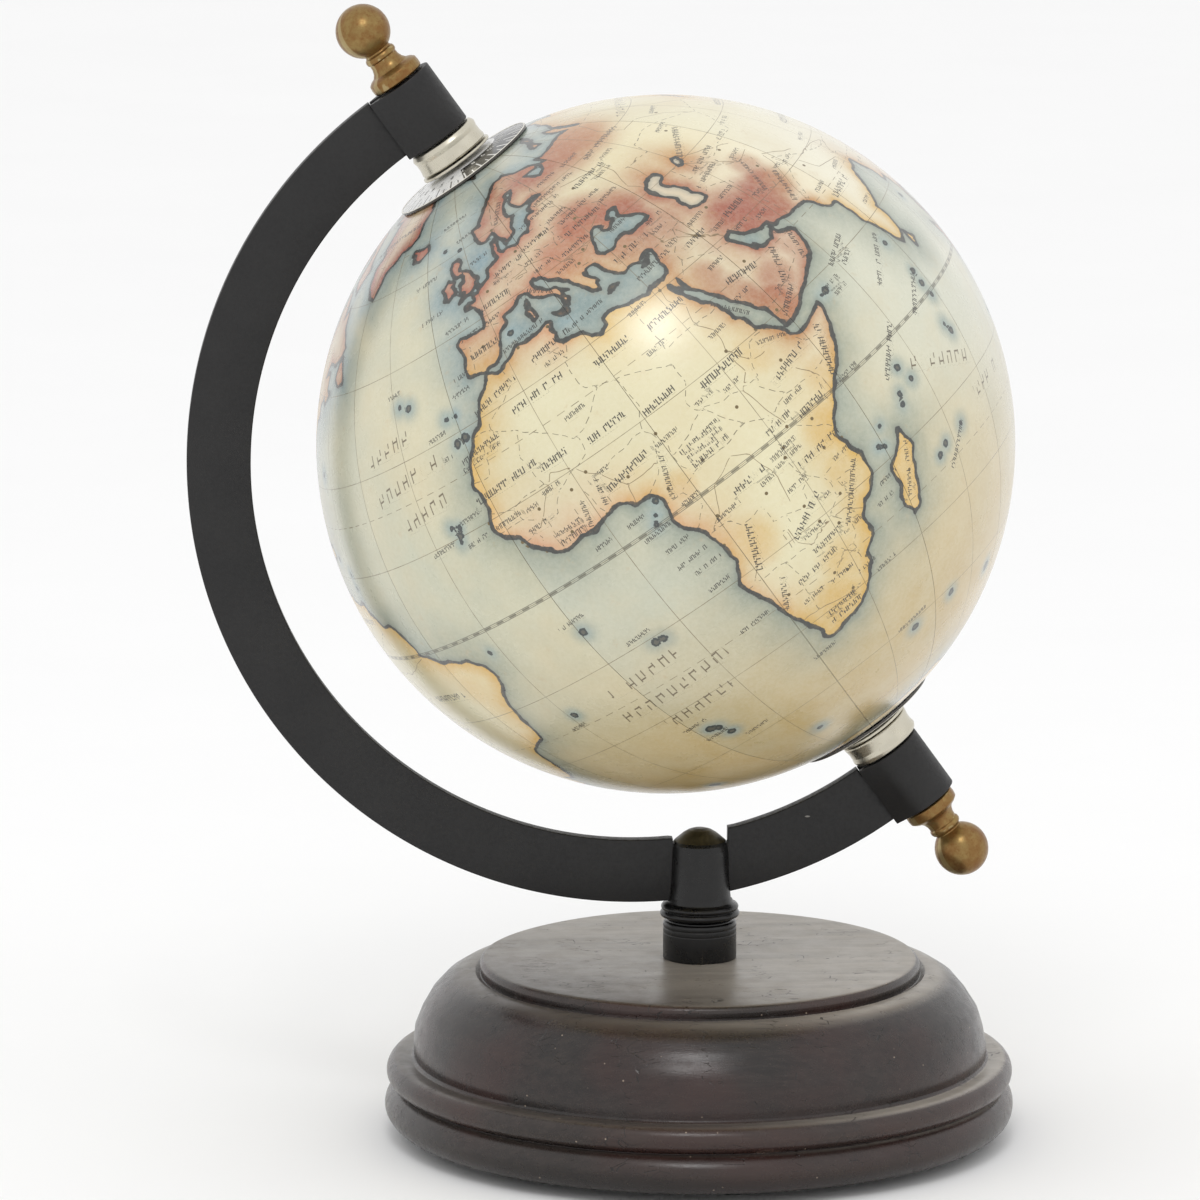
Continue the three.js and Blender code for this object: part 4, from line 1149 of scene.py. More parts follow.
SMALLER_LANDS = [
    [(49.3, -12), (50.4, -15.7), (49.4, -18.2), (48.3, -21), (47, -25), (45.2, -25.6), (43.5, -23.3),
     (43.6, -21.4), (44.4, -19.8), (44.1, -17), (44.6, -16.2), (46.3, -15.7), (47.9, -13.7)],
    [(-5.6, 50.1), (-3.5, 50.3), (-1.3, 50.7), (1.3, 51.2), (0.8, 51.7), (1.7, 52.7), (0.2, 53.1),
     (-0.2, 54.2), (-1.6, 55.5), (-3, 56), (-2, 57.6), (-3.2, 58.6), (-5, 58.5), (-5.8, 57.2), (-5.4, 55.7),
     (-4.9, 54.7), (-3.1, 54.8), (-3, 53.5), (-4.5, 53.2), (-4.3, 52.3), (-5.1, 51.8), (-3.2, 51.4),
     (-4.5, 51)],
    [(-6.2, 52.2), (-6.1, 53.7), (-5.6, 54.6), (-7.3, 55.3), (-8.5, 54.4), (-10, 54.1), (-9.3, 53.1),
     (-10.2, 52), (-8.6, 51.6)],
    [(-22.5, 64), (-18.8, 63.4), (-14.8, 64.4), (-14.6, 65.8), (-16.2, 66.4), (-20.3, 66), (-22.5, 66.4),
     (-24.2, 65.5), (-22.2, 65)],
    [(12.5, 38), (15.5, 38.2), (15.1, 36.8)], [(8.3, 39), (8.3, 40.9), (9.6, 41), (9.6, 39.2)],
    [(8.6, 42), (9.3, 43), (9.5, 41.6)], [(23.5, 35.2), (24.8, 35.6), (26.4, 35.2), (24.8, 34.9)],
    [(32.3, 34.9), (34.5, 35.6), (33.8, 34.7)],
    [(-72, 64), (-65.5, 62.3), (-64, 65), (-61.5, 66.8), (-67.5, 69.3), (-73, 71.5), (-79, 73.4),
     (-88, 73.7), (-89, 71.5), (-84, 70), (-78.5, 70), (-72.5, 67.5), (-73.5, 65.3)],
    [(-117, 70), (-105, 69), (-101, 69.7), (-105, 72.8), (-114, 73), (-118.5, 71)],
    [(-90, 76.5), (-79, 76.3), (-75, 78.5), (-63, 82.5), (-72, 83), (-90, 81.8), (-87, 79)],
    [(-125, 72), (-120.5, 71.6), (-117, 73.3), (-124, 74.2)],
    [(-59.2, 47.7), (-55.8, 46.9), (-53, 46.8), (-53.5, 48.5), (-55.5, 51.4), (-57.5, 50.3), (-58.4, 49)],
    [(-84.9, 21.9), (-82.5, 23), (-80, 22.9), (-77, 21.6), (-74.2, 20.2), (-77.5, 19.9), (-78, 20.7),
     (-81.5, 22.1)],
    [(-74.4, 18.4), (-73, 19.9), (-70, 19.8), (-68.4, 18.6), (-71.5, 17.7)],
    [(144.7, -40.8), (148.2, -40.9), (147.9, -43.2), (146, -43.5)],
    [(172.7, -34.5), (174.8, -36.9), (178.5, -37.7), (177, -39.5), (175.3, -41.6), (173.9, -39.3),
     (174.8, -38)],
    [(172.7, -40.6), (174.3, -41.7), (172.8, -43.8), (170.7, -46), (168.3, -46.6), (166.5, -45.9),
     (170.5, -43)],
    [(131, -0.8), (134.1, -0.9), (135, -3.3), (137.8, -1.6), (141, -2.6), (145.8, -5), (147.8, -6.6),
     (150.8, -10.4), (147, -9.5), (143.5, -8.8), (138, -8.3), (138.5, -6.7), (133, -4), (132.8, -2.8)],
    [(109, 1.5), (111.4, 2.6), (113.5, 3.8), (116.8, 7), (119.2, 5.2), (118, 2.3), (118.9, 0.9),
     (116.5, -2.5), (114.5, -4.1), (111.7, -3.4), (110, -1.3)],
    [(95.3, 5.6), (98, 4.4), (101, 2), (103.5, -0.6), (106, -3), (105.8, -5.8), (104.5, -5.8), (101, -2.7),
     (98.7, 1.2)],
    [(105.2, -6.8), (108.5, -6.6), (110.8, -6.4), (114.4, -7.8), (114.4, -8.7), (110, -8.1), (106.4, -7.4)],
    [(119.8, 0.5), (122, 1), (125.1, 1.6), (121, 0.2), (120.6, -1.2), (123.3, -0.9), (121.8, -2),
     (123, -4.5), (121.6, -4.6), (120.8, -3), (120.4, -5.5), (119.4, -5.2), (118.8, -2.8)],
    [(120.6, 18.5), (122.2, 18.4), (121.6, 15.9), (124, 13), (120.7, 13.8), (120.2, 15.8)],
    [(122, 7.2), (123.5, 8.6), (125.5, 9.8), (126.5, 7.5), (125.4, 5.7), (124, 7)],
    [(121.6, 25.2), (121.4, 23.5), (120.8, 22), (120.1, 23.5)],
    [(108.7, 19.2), (110.6, 20.1), (110.5, 18.8), (109.3, 18.3)],
    [(130, 33.4), (131, 34.4), (133, 35.5), (136, 35.7), (137, 37.2), (139.5, 38.5), (140.3, 41.2),
     (141.5, 41.3), (142, 39.5), (140.8, 36), (139.8, 35), (137, 34.6), (135.8, 33.5), (134.8, 34.5),
     (132, 34.1), (131.8, 33.2), (131.4, 31.4), (130.2, 31.3), (129.8, 32.9)],
    [(140, 41.6), (141.2, 43.2), (141.9, 45.4), (145.3, 43.4), (143.2, 42.1), (141.2, 42.5)],
    [(142, 46), (142.4, 50), (142.7, 54.3), (143.3, 52), (143.5, 49), (143.2, 46.3)],
    [(80, 9.7), (81.8, 7.5), (80.6, 5.9), (79.8, 8)],
    [(52, 71.2), (56, 73.5), (61, 75.6), (68.5, 76.9), (66, 75.9), (58, 73.2), (56.5, 71)],
    [(11, 79.3), (16, 80), (24, 80.3), (21, 78.5), (16.7, 76.7), (13.5, 78)],
    [(95, 79), (98, 81), (105, 79), (100, 78)], [(138, 75.3), (145, 75.7), (150, 75.2), (142, 74.5)],
]
INLAND_WATERS = [
    [(28, 42), (29, 41.3), (31.4, 41.3), (33.3, 42), (35.1, 42), (36.5, 41.3), (38.6, 41), (41.5, 41.6),
     (41, 42.8), (39, 44.1), (37.4, 45.1), (38.6, 46.8), (39.2, 47.2), (37, 46.9), (35.2, 46.2),
     (36.2, 45.3), (34.9, 44.9), (33.6, 44.5), (32.6, 45.3), (33.4, 46), (31.5, 46.6), (30.6, 46.2),
     (29.6, 45.1), (28.6, 44), (27.7, 42.8)],
    [(47.5, 45.5), (49.2, 46.4), (51, 46.9), (53, 46.8), (53, 45.3), (51.2, 44.6), (50.6, 44.2),
     (51.6, 43.2), (52.6, 42.4), (52.9, 41.2), (53.4, 40.2), (53, 39.4), (53.7, 38.6), (53.9, 37.3),
     (52, 36.7), (50.3, 37.3), (49, 37.8), (49.2, 39.2), (49.8, 40.4), (48.7, 41.8), (47.7, 43), (47, 44.5)],
    [(58.5, 45.4), (60, 46.5), (61.5, 46.2), (61, 44.8), (59.5, 43.9), (58.4, 44.4)],
    [(104, 51.6), (106.5, 53.2), (109.6, 55.7), (109.2, 54.2), (107.2, 52.4)],
    [(-92, 46.7), (-88.5, 48.8), (-84.8, 46.8), (-87.5, 46.5)],
    [(-87.6, 42), (-87.8, 44.5), (-85.2, 46), (-82, 46), (-80.2, 44.6), (-82.2, 43.2), (-83.4, 45),
     (-85.6, 45), (-86.4, 42.4)],
    [(-83, 41.7), (-79.2, 42.8), (-76.4, 43.6), (-79.2, 43.4)],
    [(-118, 66.5), (-121, 65), (-124, 66), (-121, 66.8)], [(-109, 62.8), (-116, 61.2), (-114, 62.4)],
]

# Small islands drawn as dots with a blue halo: longitude, latitude, radius in millimetres.
ISLES = [
    (-25.6, 37.8, 0.8), (-28.2, 38.6, 0.6), (-17, 32.8, 0.6), (-14.8, 32.6, 0.5), (-16.5, 28.3, 0.9),
    (-14.4, 28.6, 1), (-23.8, 15.2, 0.8), (-23.2, 16.4, 0.6), (-24.8, 16.9, 0.55), (-24.2, 14.2, 0.5),
    (-14.4, -8, 0.9), (-5.7, -16, 1), (-4.2, -16.2, 0.8), (-12.3, -37.1, 1), (-10.9, -37.8, 0.9),
    (-9.9, -40.3, 0.9), (-28.8, -20.5, 0.8), (-32.4, -3.8, 0.6), (6.6, 0.3, 0.6), (7.4, 1.6, 0.5),
    (8.7, 3.5, 0.7), (55.5, -4.6, 0.8), (55.2, -21.1, 0.8), (57.5, -20.2, 0.8), (63.4, -19.7, 0.6),
    (44, -12.2, 0.6), (45.2, -12.8, 0.6), (46.3, -9.6, 0.5), (53.9, 12.5, 0.8), (52.6, 12.3, 0.5),
    (73.2, 4.2, 0.8), (73, 1.9, 0.8), (73.4, -0.6, 0.6), (72.6, 10.6, 0.7), (72.4, -7.2, 0.8),
    (71.6, -5.6, 0.5), (53, -8, 0.7), (52.4, -9.6, 0.7), (56.8, -7.5, 0.7), (37.8, -46.8, 0.9),
    (51, -46.4, 0.9), (69.6, -49.4, 1.1), (3.4, -54.4, 0.7), (-36.6, -54.4, 1.1), (-59.2, -51.7, 1.3),
    (93, 12.4, 0.7), (105.6, -10.5, 0.6), (96.8, -12.2, 0.6), (166, -21.6, 1), (178, -17.8, 0.9),
    (-172.2, -13.6, 0.7), (-149.4, -17.6, 0.8), (-109.4, -27.1, 0.6), (-155.6, 19.6, 1),
    (-157.9, 21.5, 0.7), (-90.8, -0.6, 0.9), (-80.8, -33.6, 0.6), (-77.3, 18.1, 0.8), (-66.4, 18.2, 0.7),
    (-61.4, 15.6, 0.5), (-61.2, 13.2, 0.5), (-61.3, 10.4, 0.6), (-64.8, 32.3, 0.6), (-7, 62, 0.6),
    (-1.4, 60.3, 0.6), (3, 39.6, 0.7), (14.4, 35.9, 0.4), (144.8, 13.4, 0.6), (134.5, 7.4, 0.6),
    (160, -9.4, 0.9), (157, -7.8, 0.8), (152, -5.6, 1.1), (167.2, -15.6, 0.8), (124.6, -9.2, 1),
    (121, -8.6, 0.9), (128.4, -3.2, 0.9), (50.6, 26, 0.4), (-176.4, -43.9, 0.6),
]
TOWNS = [
    (-6.8, 34), (3, 36.7), (10.2, 36.8), (13.2, 32.9), (31.2, 30), (32.5, 15.6), (38.7, 9), (45.3, 2.1),
    (36.8, -1.3), (32.6, 0.3), (30.1, -2), (29.4, -3.4), (35.7, -6.2), (39.2, -6.8), (28.3, -15.4),
    (31, -17.8), (25.9, -24.6), (28.2, -25.7), (32.5, -25.9), (27.5, -29.3), (17.1, -22.6), (13.3, -8.8),
    (15.3, -4.3), (15.2, -4.2), (9.4, 0.4), (11.5, 3.9), (18.5, 4.4), (15, 12.1), (7.4, 9.1), (2.1, 13.5),
    (-8, 12.6), (-1.5, 12.4), (-5.3, 6.8), (-0.2, 5.6), (1.2, 6.1), (2.6, 6.5), (-10.8, 6.3), (-13.2, 8.5),
    (-13.7, 9.5), (-17.4, 14.7), (-16, 18.1), (38.9, 15.3), (43.1, 11.6), (28, 7.7), (23.6, -6.1),
    (27.5, -11.7), (33.8, -13.9), (18.4, -33.9), (47.5, -18.9), (13.4, -12.4), (-3.7, 40.4), (2.3, 48.9),
    (-0.1, 51.5), (13.4, 52.5), (12.5, 41.9), (21, 52.2), (30.5, 50.4), (37.6, 55.8), (18, 59.3),
    (10.8, 59.9), (25, 60.2), (26.1, 44.4), (23.3, 42.7), (23.7, 38), (32.9, 39.9), (44.4, 33.3),
    (51.4, 35.7), (46.7, 24.7), (44.2, 15.4), (58.4, 23.4), (67, 24.9), (69.2, 34.5), (77.2, 28.6),
    (69.2, 41.3), (71.4, 51.2), (82.9, 55), (100.5, 13.8), (-34.9, -8.1),
]

# Dashed borders and rivers, as open lines.
BORDERS = [
    [(-8.7, 27.7), (-8.7, 28.7), (-4, 30.5), (-1.2, 32.3), (-2.2, 35)],
    [(-13, 27.6), (-8.7, 27.6), (-8.7, 26), (-12, 26), (-12, 23.4), (-13, 21.3), (-17, 21.3)],
    [(-8.7, 27.3), (-4.8, 25), (1.2, 21.1), (3.3, 19), (4.3, 19.2), (5.8, 19.5), (12, 23.5)],
    [(9.4, 30.2), (9.5, 26.5), (10, 24.4), (12, 23.5), (15, 23), (24, 19.6), (24, 20)],
    [(7.5, 33.8), (9, 32), (10.2, 30.3), (11.5, 33)], [(25, 31.6), (25, 22), (31.3, 22), (36.8, 22)],
    [(24, 19.6), (24, 15.7), (22, 13), (22.9, 11), (27, 9.6), (34, 9.5)],
    [(15, 23), (15.6, 17), (13.6, 13.7)],
    [(4.3, 19.2), (4, 16), (1, 15), (0.2, 14.9), (-3.5, 13.4), (-5.5, 10.5), (-8, 10.3)],
    [(-5, 15.5), (-9.5, 15.4), (-12, 14.8), (-16.4, 16.2)], [(-5, 15.5), (-6.5, 21), (-4.8, 25)],
    [(-12, 14.8), (-11.4, 12.4), (-8.5, 11.5), (-8, 10.3), (-7.9, 8.4), (-7.4, 5.5)],
    [(-16.6, 12.4), (-13.7, 12.6), (-11.4, 12.4)], [(-13.2, 9.1), (-11, 10), (-10.3, 8.4), (-11.4, 7)],
    [(-2.8, 9.7), (-3, 5.3)], [(0.2, 11), (0.6, 8), (1.1, 6)], [(2.7, 12), (2.7, 6.5)],
    [(3.6, 11.8), (7, 13.1), (13.6, 13.7), (14.5, 12.5), (13.2, 9.6), (11.5, 6.8), (8.6, 4.9)],
    [(14.5, 12.5), (15.5, 10), (15, 7.5), (16.2, 3.6), (13.2, 2.2), (9.8, 2.2)],
    [(15, 7.5), (19, 9), (22.9, 11)],
    [(16.2, 3.6), (18.6, 4.2), (22.5, 4.2), (27.4, 5), (30.8, 3.5), (31, 2.2)],
    [(27.4, 5), (24.5, 8.5), (22.9, 11)], [(13.2, 2.2), (14.4, -1.5), (12, -3.5), (11.2, -3.9)],
    [(12.5, -5.8), (16.5, -6), (17.5, -8), (21.8, -7.3), (22, -11), (24, -11), (24, -13), (22, -13),
     (22, -16.2)],
    [(11.9, -17.2), (18.4, -17.4), (23.4, -17.6), (25.2, -17.8)],
    [(20, -18), (21, -22), (20, -22), (20, -28.4)],
    [(20, -24.8), (22.8, -25.3), (25.7, -25.6), (27, -23.7), (29.4, -22.2)], [(16.5, -28.5), (20, -28.4)],
    [(25.2, -17.8), (27.6, -20.4), (29.4, -22.2), (31.3, -22.4), (32.9, -21.2), (33, -18.8), (30.4, -15.9)],
    [(25.2, -17.8), (28.8, -16), (30.4, -15.9), (33.2, -14), (33, -9.6), (30.8, -8.3), (28.4, -9.2),
     (28.5, -11.9)],
    [(28.5, -11.9), (29.8, -13.4), (27, -12), (24, -11)],
    [(33.2, -14), (34.6, -14), (35.4, -16.1), (34.6, -11.6)], [(34.6, -11.6), (37.5, -11.7), (40.4, -10.5)],
    [(34.8, -9.5), (33, -9.6)],
    [(30.8, -8.3), (29.4, -6), (29.4, -4.4), (30.7, -1), (29.6, -1.3), (31, 2.2)],
    [(29.2, -2.8), (30.8, -2.4)], [(31, 2.2), (34, 4.2), (34.2, 1), (34, -1), (37.6, -3), (39.2, -4.6)],
    [(34, 4.2), (36, 4.4), (41.9, 3.9)], [(41.9, 3.9), (41, 0), (41.6, -1.7)],
    [(41.9, 3.9), (45, 5), (48, 8), (44, 9), (42.9, 11)], [(34, 9.5), (33, 8), (36, 4.4)],
    [(36.4, 14.4), (34.3, 10.8), (34, 9.5)], [(36.4, 14.4), (40, 14.4), (42.4, 12.5)],
    [(31.3, -22.4), (32, -25.9)], [(27, -29.6), (29.4, -29.4), (28.4, -30.4), (27.2, -30), (28, -28.8)],
    [(34.9, 29.5), (36, 29.2), (38.8, 31.6), (44.6, 29.2), (46.5, 29.1), (48.4, 28.5)],
    [(38.8, 31.6), (38.8, 33.4), (41, 34.6), (42.4, 37.1)],
    [(36.8, 36.3), (40, 36.9), (44.6, 37.2), (44.8, 39.7)],
    [(44.8, 37.2), (46, 35), (45.6, 33), (47.8, 31), (48.5, 30)],
    [(42.8, 16.5), (47, 17), (52, 19), (55, 20), (55.2, 22.7)],
    [(61.5, 25.2), (61, 31.5), (61, 36.6), (56, 38.1), (54, 37.4)],
    [(61, 31.5), (66.4, 29.8), (69.4, 33.6), (71.2, 36.3)], [(68.2, 24), (71, 28), (74.5, 31), (74, 34)],
    [(-8.9, 42), (-6.5, 41.7), (-7, 39), (-7.4, 37.2)], [(-1.8, 43.3), (0.6, 42.7), (3, 42.5)],
    [(7.4, 43.8), (7, 46), (7.6, 47.6), (8.2, 49), (6, 50), (2.6, 51)],
    [(7.6, 47.6), (10, 47.3), (13, 47.6), (13, 48.8), (12.1, 50.3), (15, 51), (14.2, 53.8)],
    [(15, 51), (18.8, 49.5), (22.6, 49.1), (24, 50.8), (23.6, 52.6), (22.8, 54.4), (19.8, 54.4)],
    [(22.6, 49.1), (22.6, 48), (26.6, 48.3), (28.2, 45.5), (22.8, 44.2), (22.4, 42.3), (26.3, 41.8)],
    [(23.6, 52), (30.8, 51.6), (34.2, 51.8), (38, 49.8), (38.2, 47.2)],
    [(28, 59.4), (28.2, 56), (31, 55), (31.8, 52.2)],
    [(11.2, 59), (12.2, 62), (14, 65), (16.4, 68), (20.6, 69)],
    [(24, 65.9), (23.6, 68), (20.6, 69), (28.6, 69.8)], [(28.4, 69.6), (29.8, 66), (30, 63), (27.8, 60.6)],
    [(51, 51.6), (60, 50.8), (61.4, 54), (70, 55.2), (77, 53.6), (87, 49.2)],
    [(56, 45), (56, 41.3), (60, 42), (66, 38), (68, 37.2)],
    [(56, 45), (62, 43.5), (66.6, 41.2), (71, 42.3), (80, 42.2), (87, 49.2)],
    [(74, 34), (78.7, 31.5), (81, 30.2), (88, 28), (92, 27.6), (97.3, 28.2)],
    [(87, 49.2), (98, 52), (107, 49.6), (116, 49.8)],
    [(116, 49.8), (120, 53), (127, 50), (131, 47.6), (134.8, 48.4), (131, 44.8), (130.6, 42.5)],
    [(97.3, 28.2), (99, 22), (102, 22.4), (108, 21.6)], [(88.8, 26.2), (92.4, 24.8), (92.3, 21.4)],
    [(-60, 5), (-63, 3.6), (-67, 1.8), (-69.6, -0.6), (-70, -4.2), (-73.6, -7.4), (-70.6, -11),
     (-65.4, -10)],
    [(-65.4, -10), (-60.2, -15.6), (-57.8, -19.6), (-55.6, -22.4), (-54.4, -25.6), (-57.4, -30),
     (-53.6, -33.4)],
    [(-69.6, -17.8), (-67.6, -22.8), (-70, -31), (-71, -39), (-72, -46), (-72.2, -51.8)],
    [(-62.6, -22.2), (-58, -20)],
    [(-124.4, 48.6), (-95, 49), (-89, 48), (-82.6, 45.4), (-79, 43.2), (-71, 45.2), (-67.6, 47)],
    [(-117, 32.5), (-111, 31.4), (-106.4, 31.8), (-101, 29.6), (-97.4, 26)],
    [(-141, 69.6), (-141, 60.2), (-131, 56)], [(129, -31.6), (129, -15)], [(138, -26), (129, -26)],
    [(141, -38), (141, -26), (138, -26), (138, -16.6)], [(141, -34), (146, -36), (149.8, -37.4)],
    [(141, -29), (153, -28.4)],
]
RIVERS = [
    [(31.2, 31.4), (31, 28), (32.8, 25.6), (31.4, 21.8), (33.6, 19.4), (32.5, 15.6), (32.8, 11),
     (30.6, 9.4), (31.6, 4), (32.8, 0.6)],
    [(32.5, 15.6), (35, 11.6), (37.4, 11.8)],
    [(12.4, -6), (15.4, -4.2), (18, 0), (22.4, 2.2), (25.2, 0.6), (26.6, -5), (26, -9.6)],
    [(6, 4.6), (6.8, 8), (3.6, 11.8), (0.4, 15.4), (-3, 16.7), (-6, 13.6), (-9.6, 10)],
    [(6.8, 8), (10, 8), (13.4, 9.2)],
    [(36, -18.6), (33.4, -16.4), (28.6, -16.6), (25.4, -17.8), (23.2, -16), (23, -12.6)],
    [(16.6, -28.6), (20, -28.4), (24.6, -29.4), (28, -30)], [(42.6, -0.2), (42.4, 3), (40, 6.6)],
    [(31.9, -25), (29.6, -22.4), (27.2, -23.8)], [(13.8, -16.8), (16, -14)],
    [(48.4, 30), (45.6, 32), (42.6, 34.6), (39, 36), (38.8, 39)], [(47.4, 31), (44.4, 33.4), (42.4, 37)],
    [(29.6, 45.1), (26, 43.8), (21, 44.8), (19, 47.6), (14, 48.4), (9, 48)],
    [(31.6, 46.8), (34.8, 48), (31, 50), (31.6, 54)],
    [(48, 46), (46, 48.6), (48.8, 53), (49, 56), (43, 56.4), (36, 58)],
    [(51.6, 47.2), (52, 51.4), (58, 51.8)],
    [(72, 66.6), (66.4, 62), (69, 58), (76.6, 57.6), (83, 54), (86, 49.6)],
    [(82, 71.6), (87, 66), (90, 60), (92.6, 56), (98, 52)],
    [(127, 72.6), (124, 66), (129.6, 62), (120, 59.8), (106, 54.4)],
    [(67.6, 24.2), (69, 28), (72.4, 32.4), (74, 35.4), (81, 31.6)],
    [(89.4, 22.2), (88, 25), (80, 26.6), (78, 30)],
    [(91, 23), (90, 26.4), (95, 27.8), (90, 29.4), (82, 30)],
    [(121.6, 31.6), (116, 30), (110, 30.8), (104, 29), (99, 28), (96, 33.6)],
    [(118.8, 37.6), (114, 35), (110.6, 39.8), (104, 36), (98, 35)],
    [(59.6, 44.2), (64, 40.6), (68, 37.2), (73, 38)], [(61, 46), (67, 43.6), (73, 40.8)],
    [(-50.4, -0.4), (-55, -2), (-60, -3.2), (-66, -3.4), (-73, -3.8), (-76, -8)],
    [(-89.4, 29.2), (-91, 33), (-89.4, 37), (-91, 41), (-94.6, 47)],
]

# Place names are drawn as small unreadable marks: longitude, latitude, length and height in millimetres,
# turn in degrees. Small names are all of one height and turn.
NAMES = [
    (2, 28.5, 11, 1.2, 4), (17.5, 27, 8, 1.2, 4), (9, 17.5, 8, 1.2, 4), (18.6, 16, 7, 1.2, 6),
    (29, 26.6, 8, 1.1, 4), (30, 14, 10, 1.3, 4), (-1.5, 18, 6, 1.2, 4), (-11, 19, 14, 1.2, 4),
    (-5.6, 32, 10, 1.1, 12), (9, 34, 9, 1.1, 6), (8, 10, 10, 1.2, 10), (-13, 24.6, 9, 1.0, 8),
    (-12.5, 25.8, 9, 1.0, 8), (20.4, 7.6, 9, 1.0, 6), (20.4, 6.2, 8, 1.0, 6), (20.4, 4.8, 8, 1.0, 6),
    (39.4, 8, 10, 1.2, 14), (46, 5.6, 10, 1.2, 66), (37.6, 0.6, 7, 1.2, 6), (35, -5.6, 10, 1.2, 4),
    (22.6, -2.6, 7, 1.2, 4), (17, -12, 9, 1.2, 70), (27, -13.2, 9, 1.2, 30), (29.4, -18.6, 10, 1.0, 8),
    (24, -21.6, 9, 1.0, 8), (16.6, -22, 7, 1.0, 66), (24, -30.4, 7, 1.1, 6), (24.6, -32, 7, 1.1, 6),
    (35.6, -15, 12, 1.0, 52), (47.4, -18.6, 10, 0.9, 66), (-5.6, 7.6, 6, 1.0, 4), (-5.4, 6.2, 6, 1.0, 4),
    (-1.6, 8, 5, 0.9, 78), (2.4, 9.6, 5, 0.9, 78), (12.4, 5.6, 8, 0.9, 70), (-9, 10.4, 6, 0.9, 4),
    (-14, 13.6, 6, 0.9, 4), (40, 12.6, 6, 0.8, -20), (31.8, 1.6, 6, 1.0, 6), (30, -2, 6, 0.8, 6),
    (30, -3.6, 6, 0.8, 6), (-3.6, 40, 6, 1.1, 4), (2.6, 46.6, 7, 1.1, 4), (10.4, 51, 7, 1.0, 4),
    (19.4, 52, 6, 1.0, 4), (31, 49, 8, 1.0, 4), (25.4, 46, 6, 0.9, 4), (13, 43, 5, 0.9, -40),
    (15.4, 62.6, 6, 0.9, 60), (33.6, 39, 8, 1.2, 4), (43.6, 33, 6, 1.0, 4), (38.4, 35, 5, 0.9, 4),
    (55, 32.6, 6, 1.2, 4), (44.6, 23.6, 7, 1.2, -8), (50.6, 20, 9, 1.2, 60), (47.4, 15.6, 7, 1.1, 30),
    (57, 21, 6, 1.0, 66), (68, 29, 8, 1.1, 56), (66, 34, 9, 0.9, 60), (67, 48, 12, 1.1, 30),
    (60, 40, 9, 0.9, 10), (64, 42.6, 9, 0.9, 10), (44, 56, 8, 1.1, 4), (60, 60, 12, 1.1, 4),
    (78, 22, 9, 1.3, 4), (100, 62, 22, 1.6, 0), (103, 35, 14, 1.4, 0), (103, 46, 10, 1.1, 0),
    (134, -25, 20, 1.5, 0), (-53, -9, 13, 1.4, 0), (-65, -35, 10, 1.2, 70), (-75, -10, 7, 1.1, 60),
    (-64, -17, 7, 1.0, 0), (-99, 40, 20, 1.5, 0), (-100, 56, 14, 1.4, 0), (-102, 24, 8, 1.2, -30),
    (-42, 72, 14, 1.0, 20), (-73, 4, 8, 1.0, 0), (-65, 7, 8, 1.0, 0), (-34, 33, 12, 2.2, 8),
    (-31, 27, 19, 2.2, 8), (-29, 21, 12, 2.2, 8), (-12, -20, 16, 2.2, 4), (-10, -25.5, 25, 2.2, 4),
    (-9, -31, 15, 2.2, 4), (66, -9, 19, 2.2, -24), (78, -18, 15, 2.2, 0), (62, 16, 8, 1.0, 20),
    (62.6, 14, 4, 1.0, 20), (-140, 30, 19, 2.2, 0), (-140, 24, 18, 2.2, 0), (-130, -24, 19, 2.2, 0),
    (-130, -30, 18, 2.2, 0), (160, 22, 19, 2.2, 0), (172, 10, 18, 2.2, 0), (-60, -68, 12, 1.0, 0),
    (20, -76, 18, 1.2, 0), (120, -76, 18, 1.2, 0), (34, 34.2, 8, 0.9, 6), (5, 38, 9, 0.8, 6),
    (18, 34.6, 7, 0.8, 6), (38.2, 20.4, 7, 0.8, -54), (68, 10, 12, 1.0, 36), (69.6, 2, 10, 1.1, 36),
    (56, -1.6, 11, 1.1, 40), (60.6, -22, 9, 1.0, 40), (34, 52, 10, 0.8, 6), (24, 56.4, 8, 0.8, 6),
    (34, 59, 10, 0.8, 4),
]
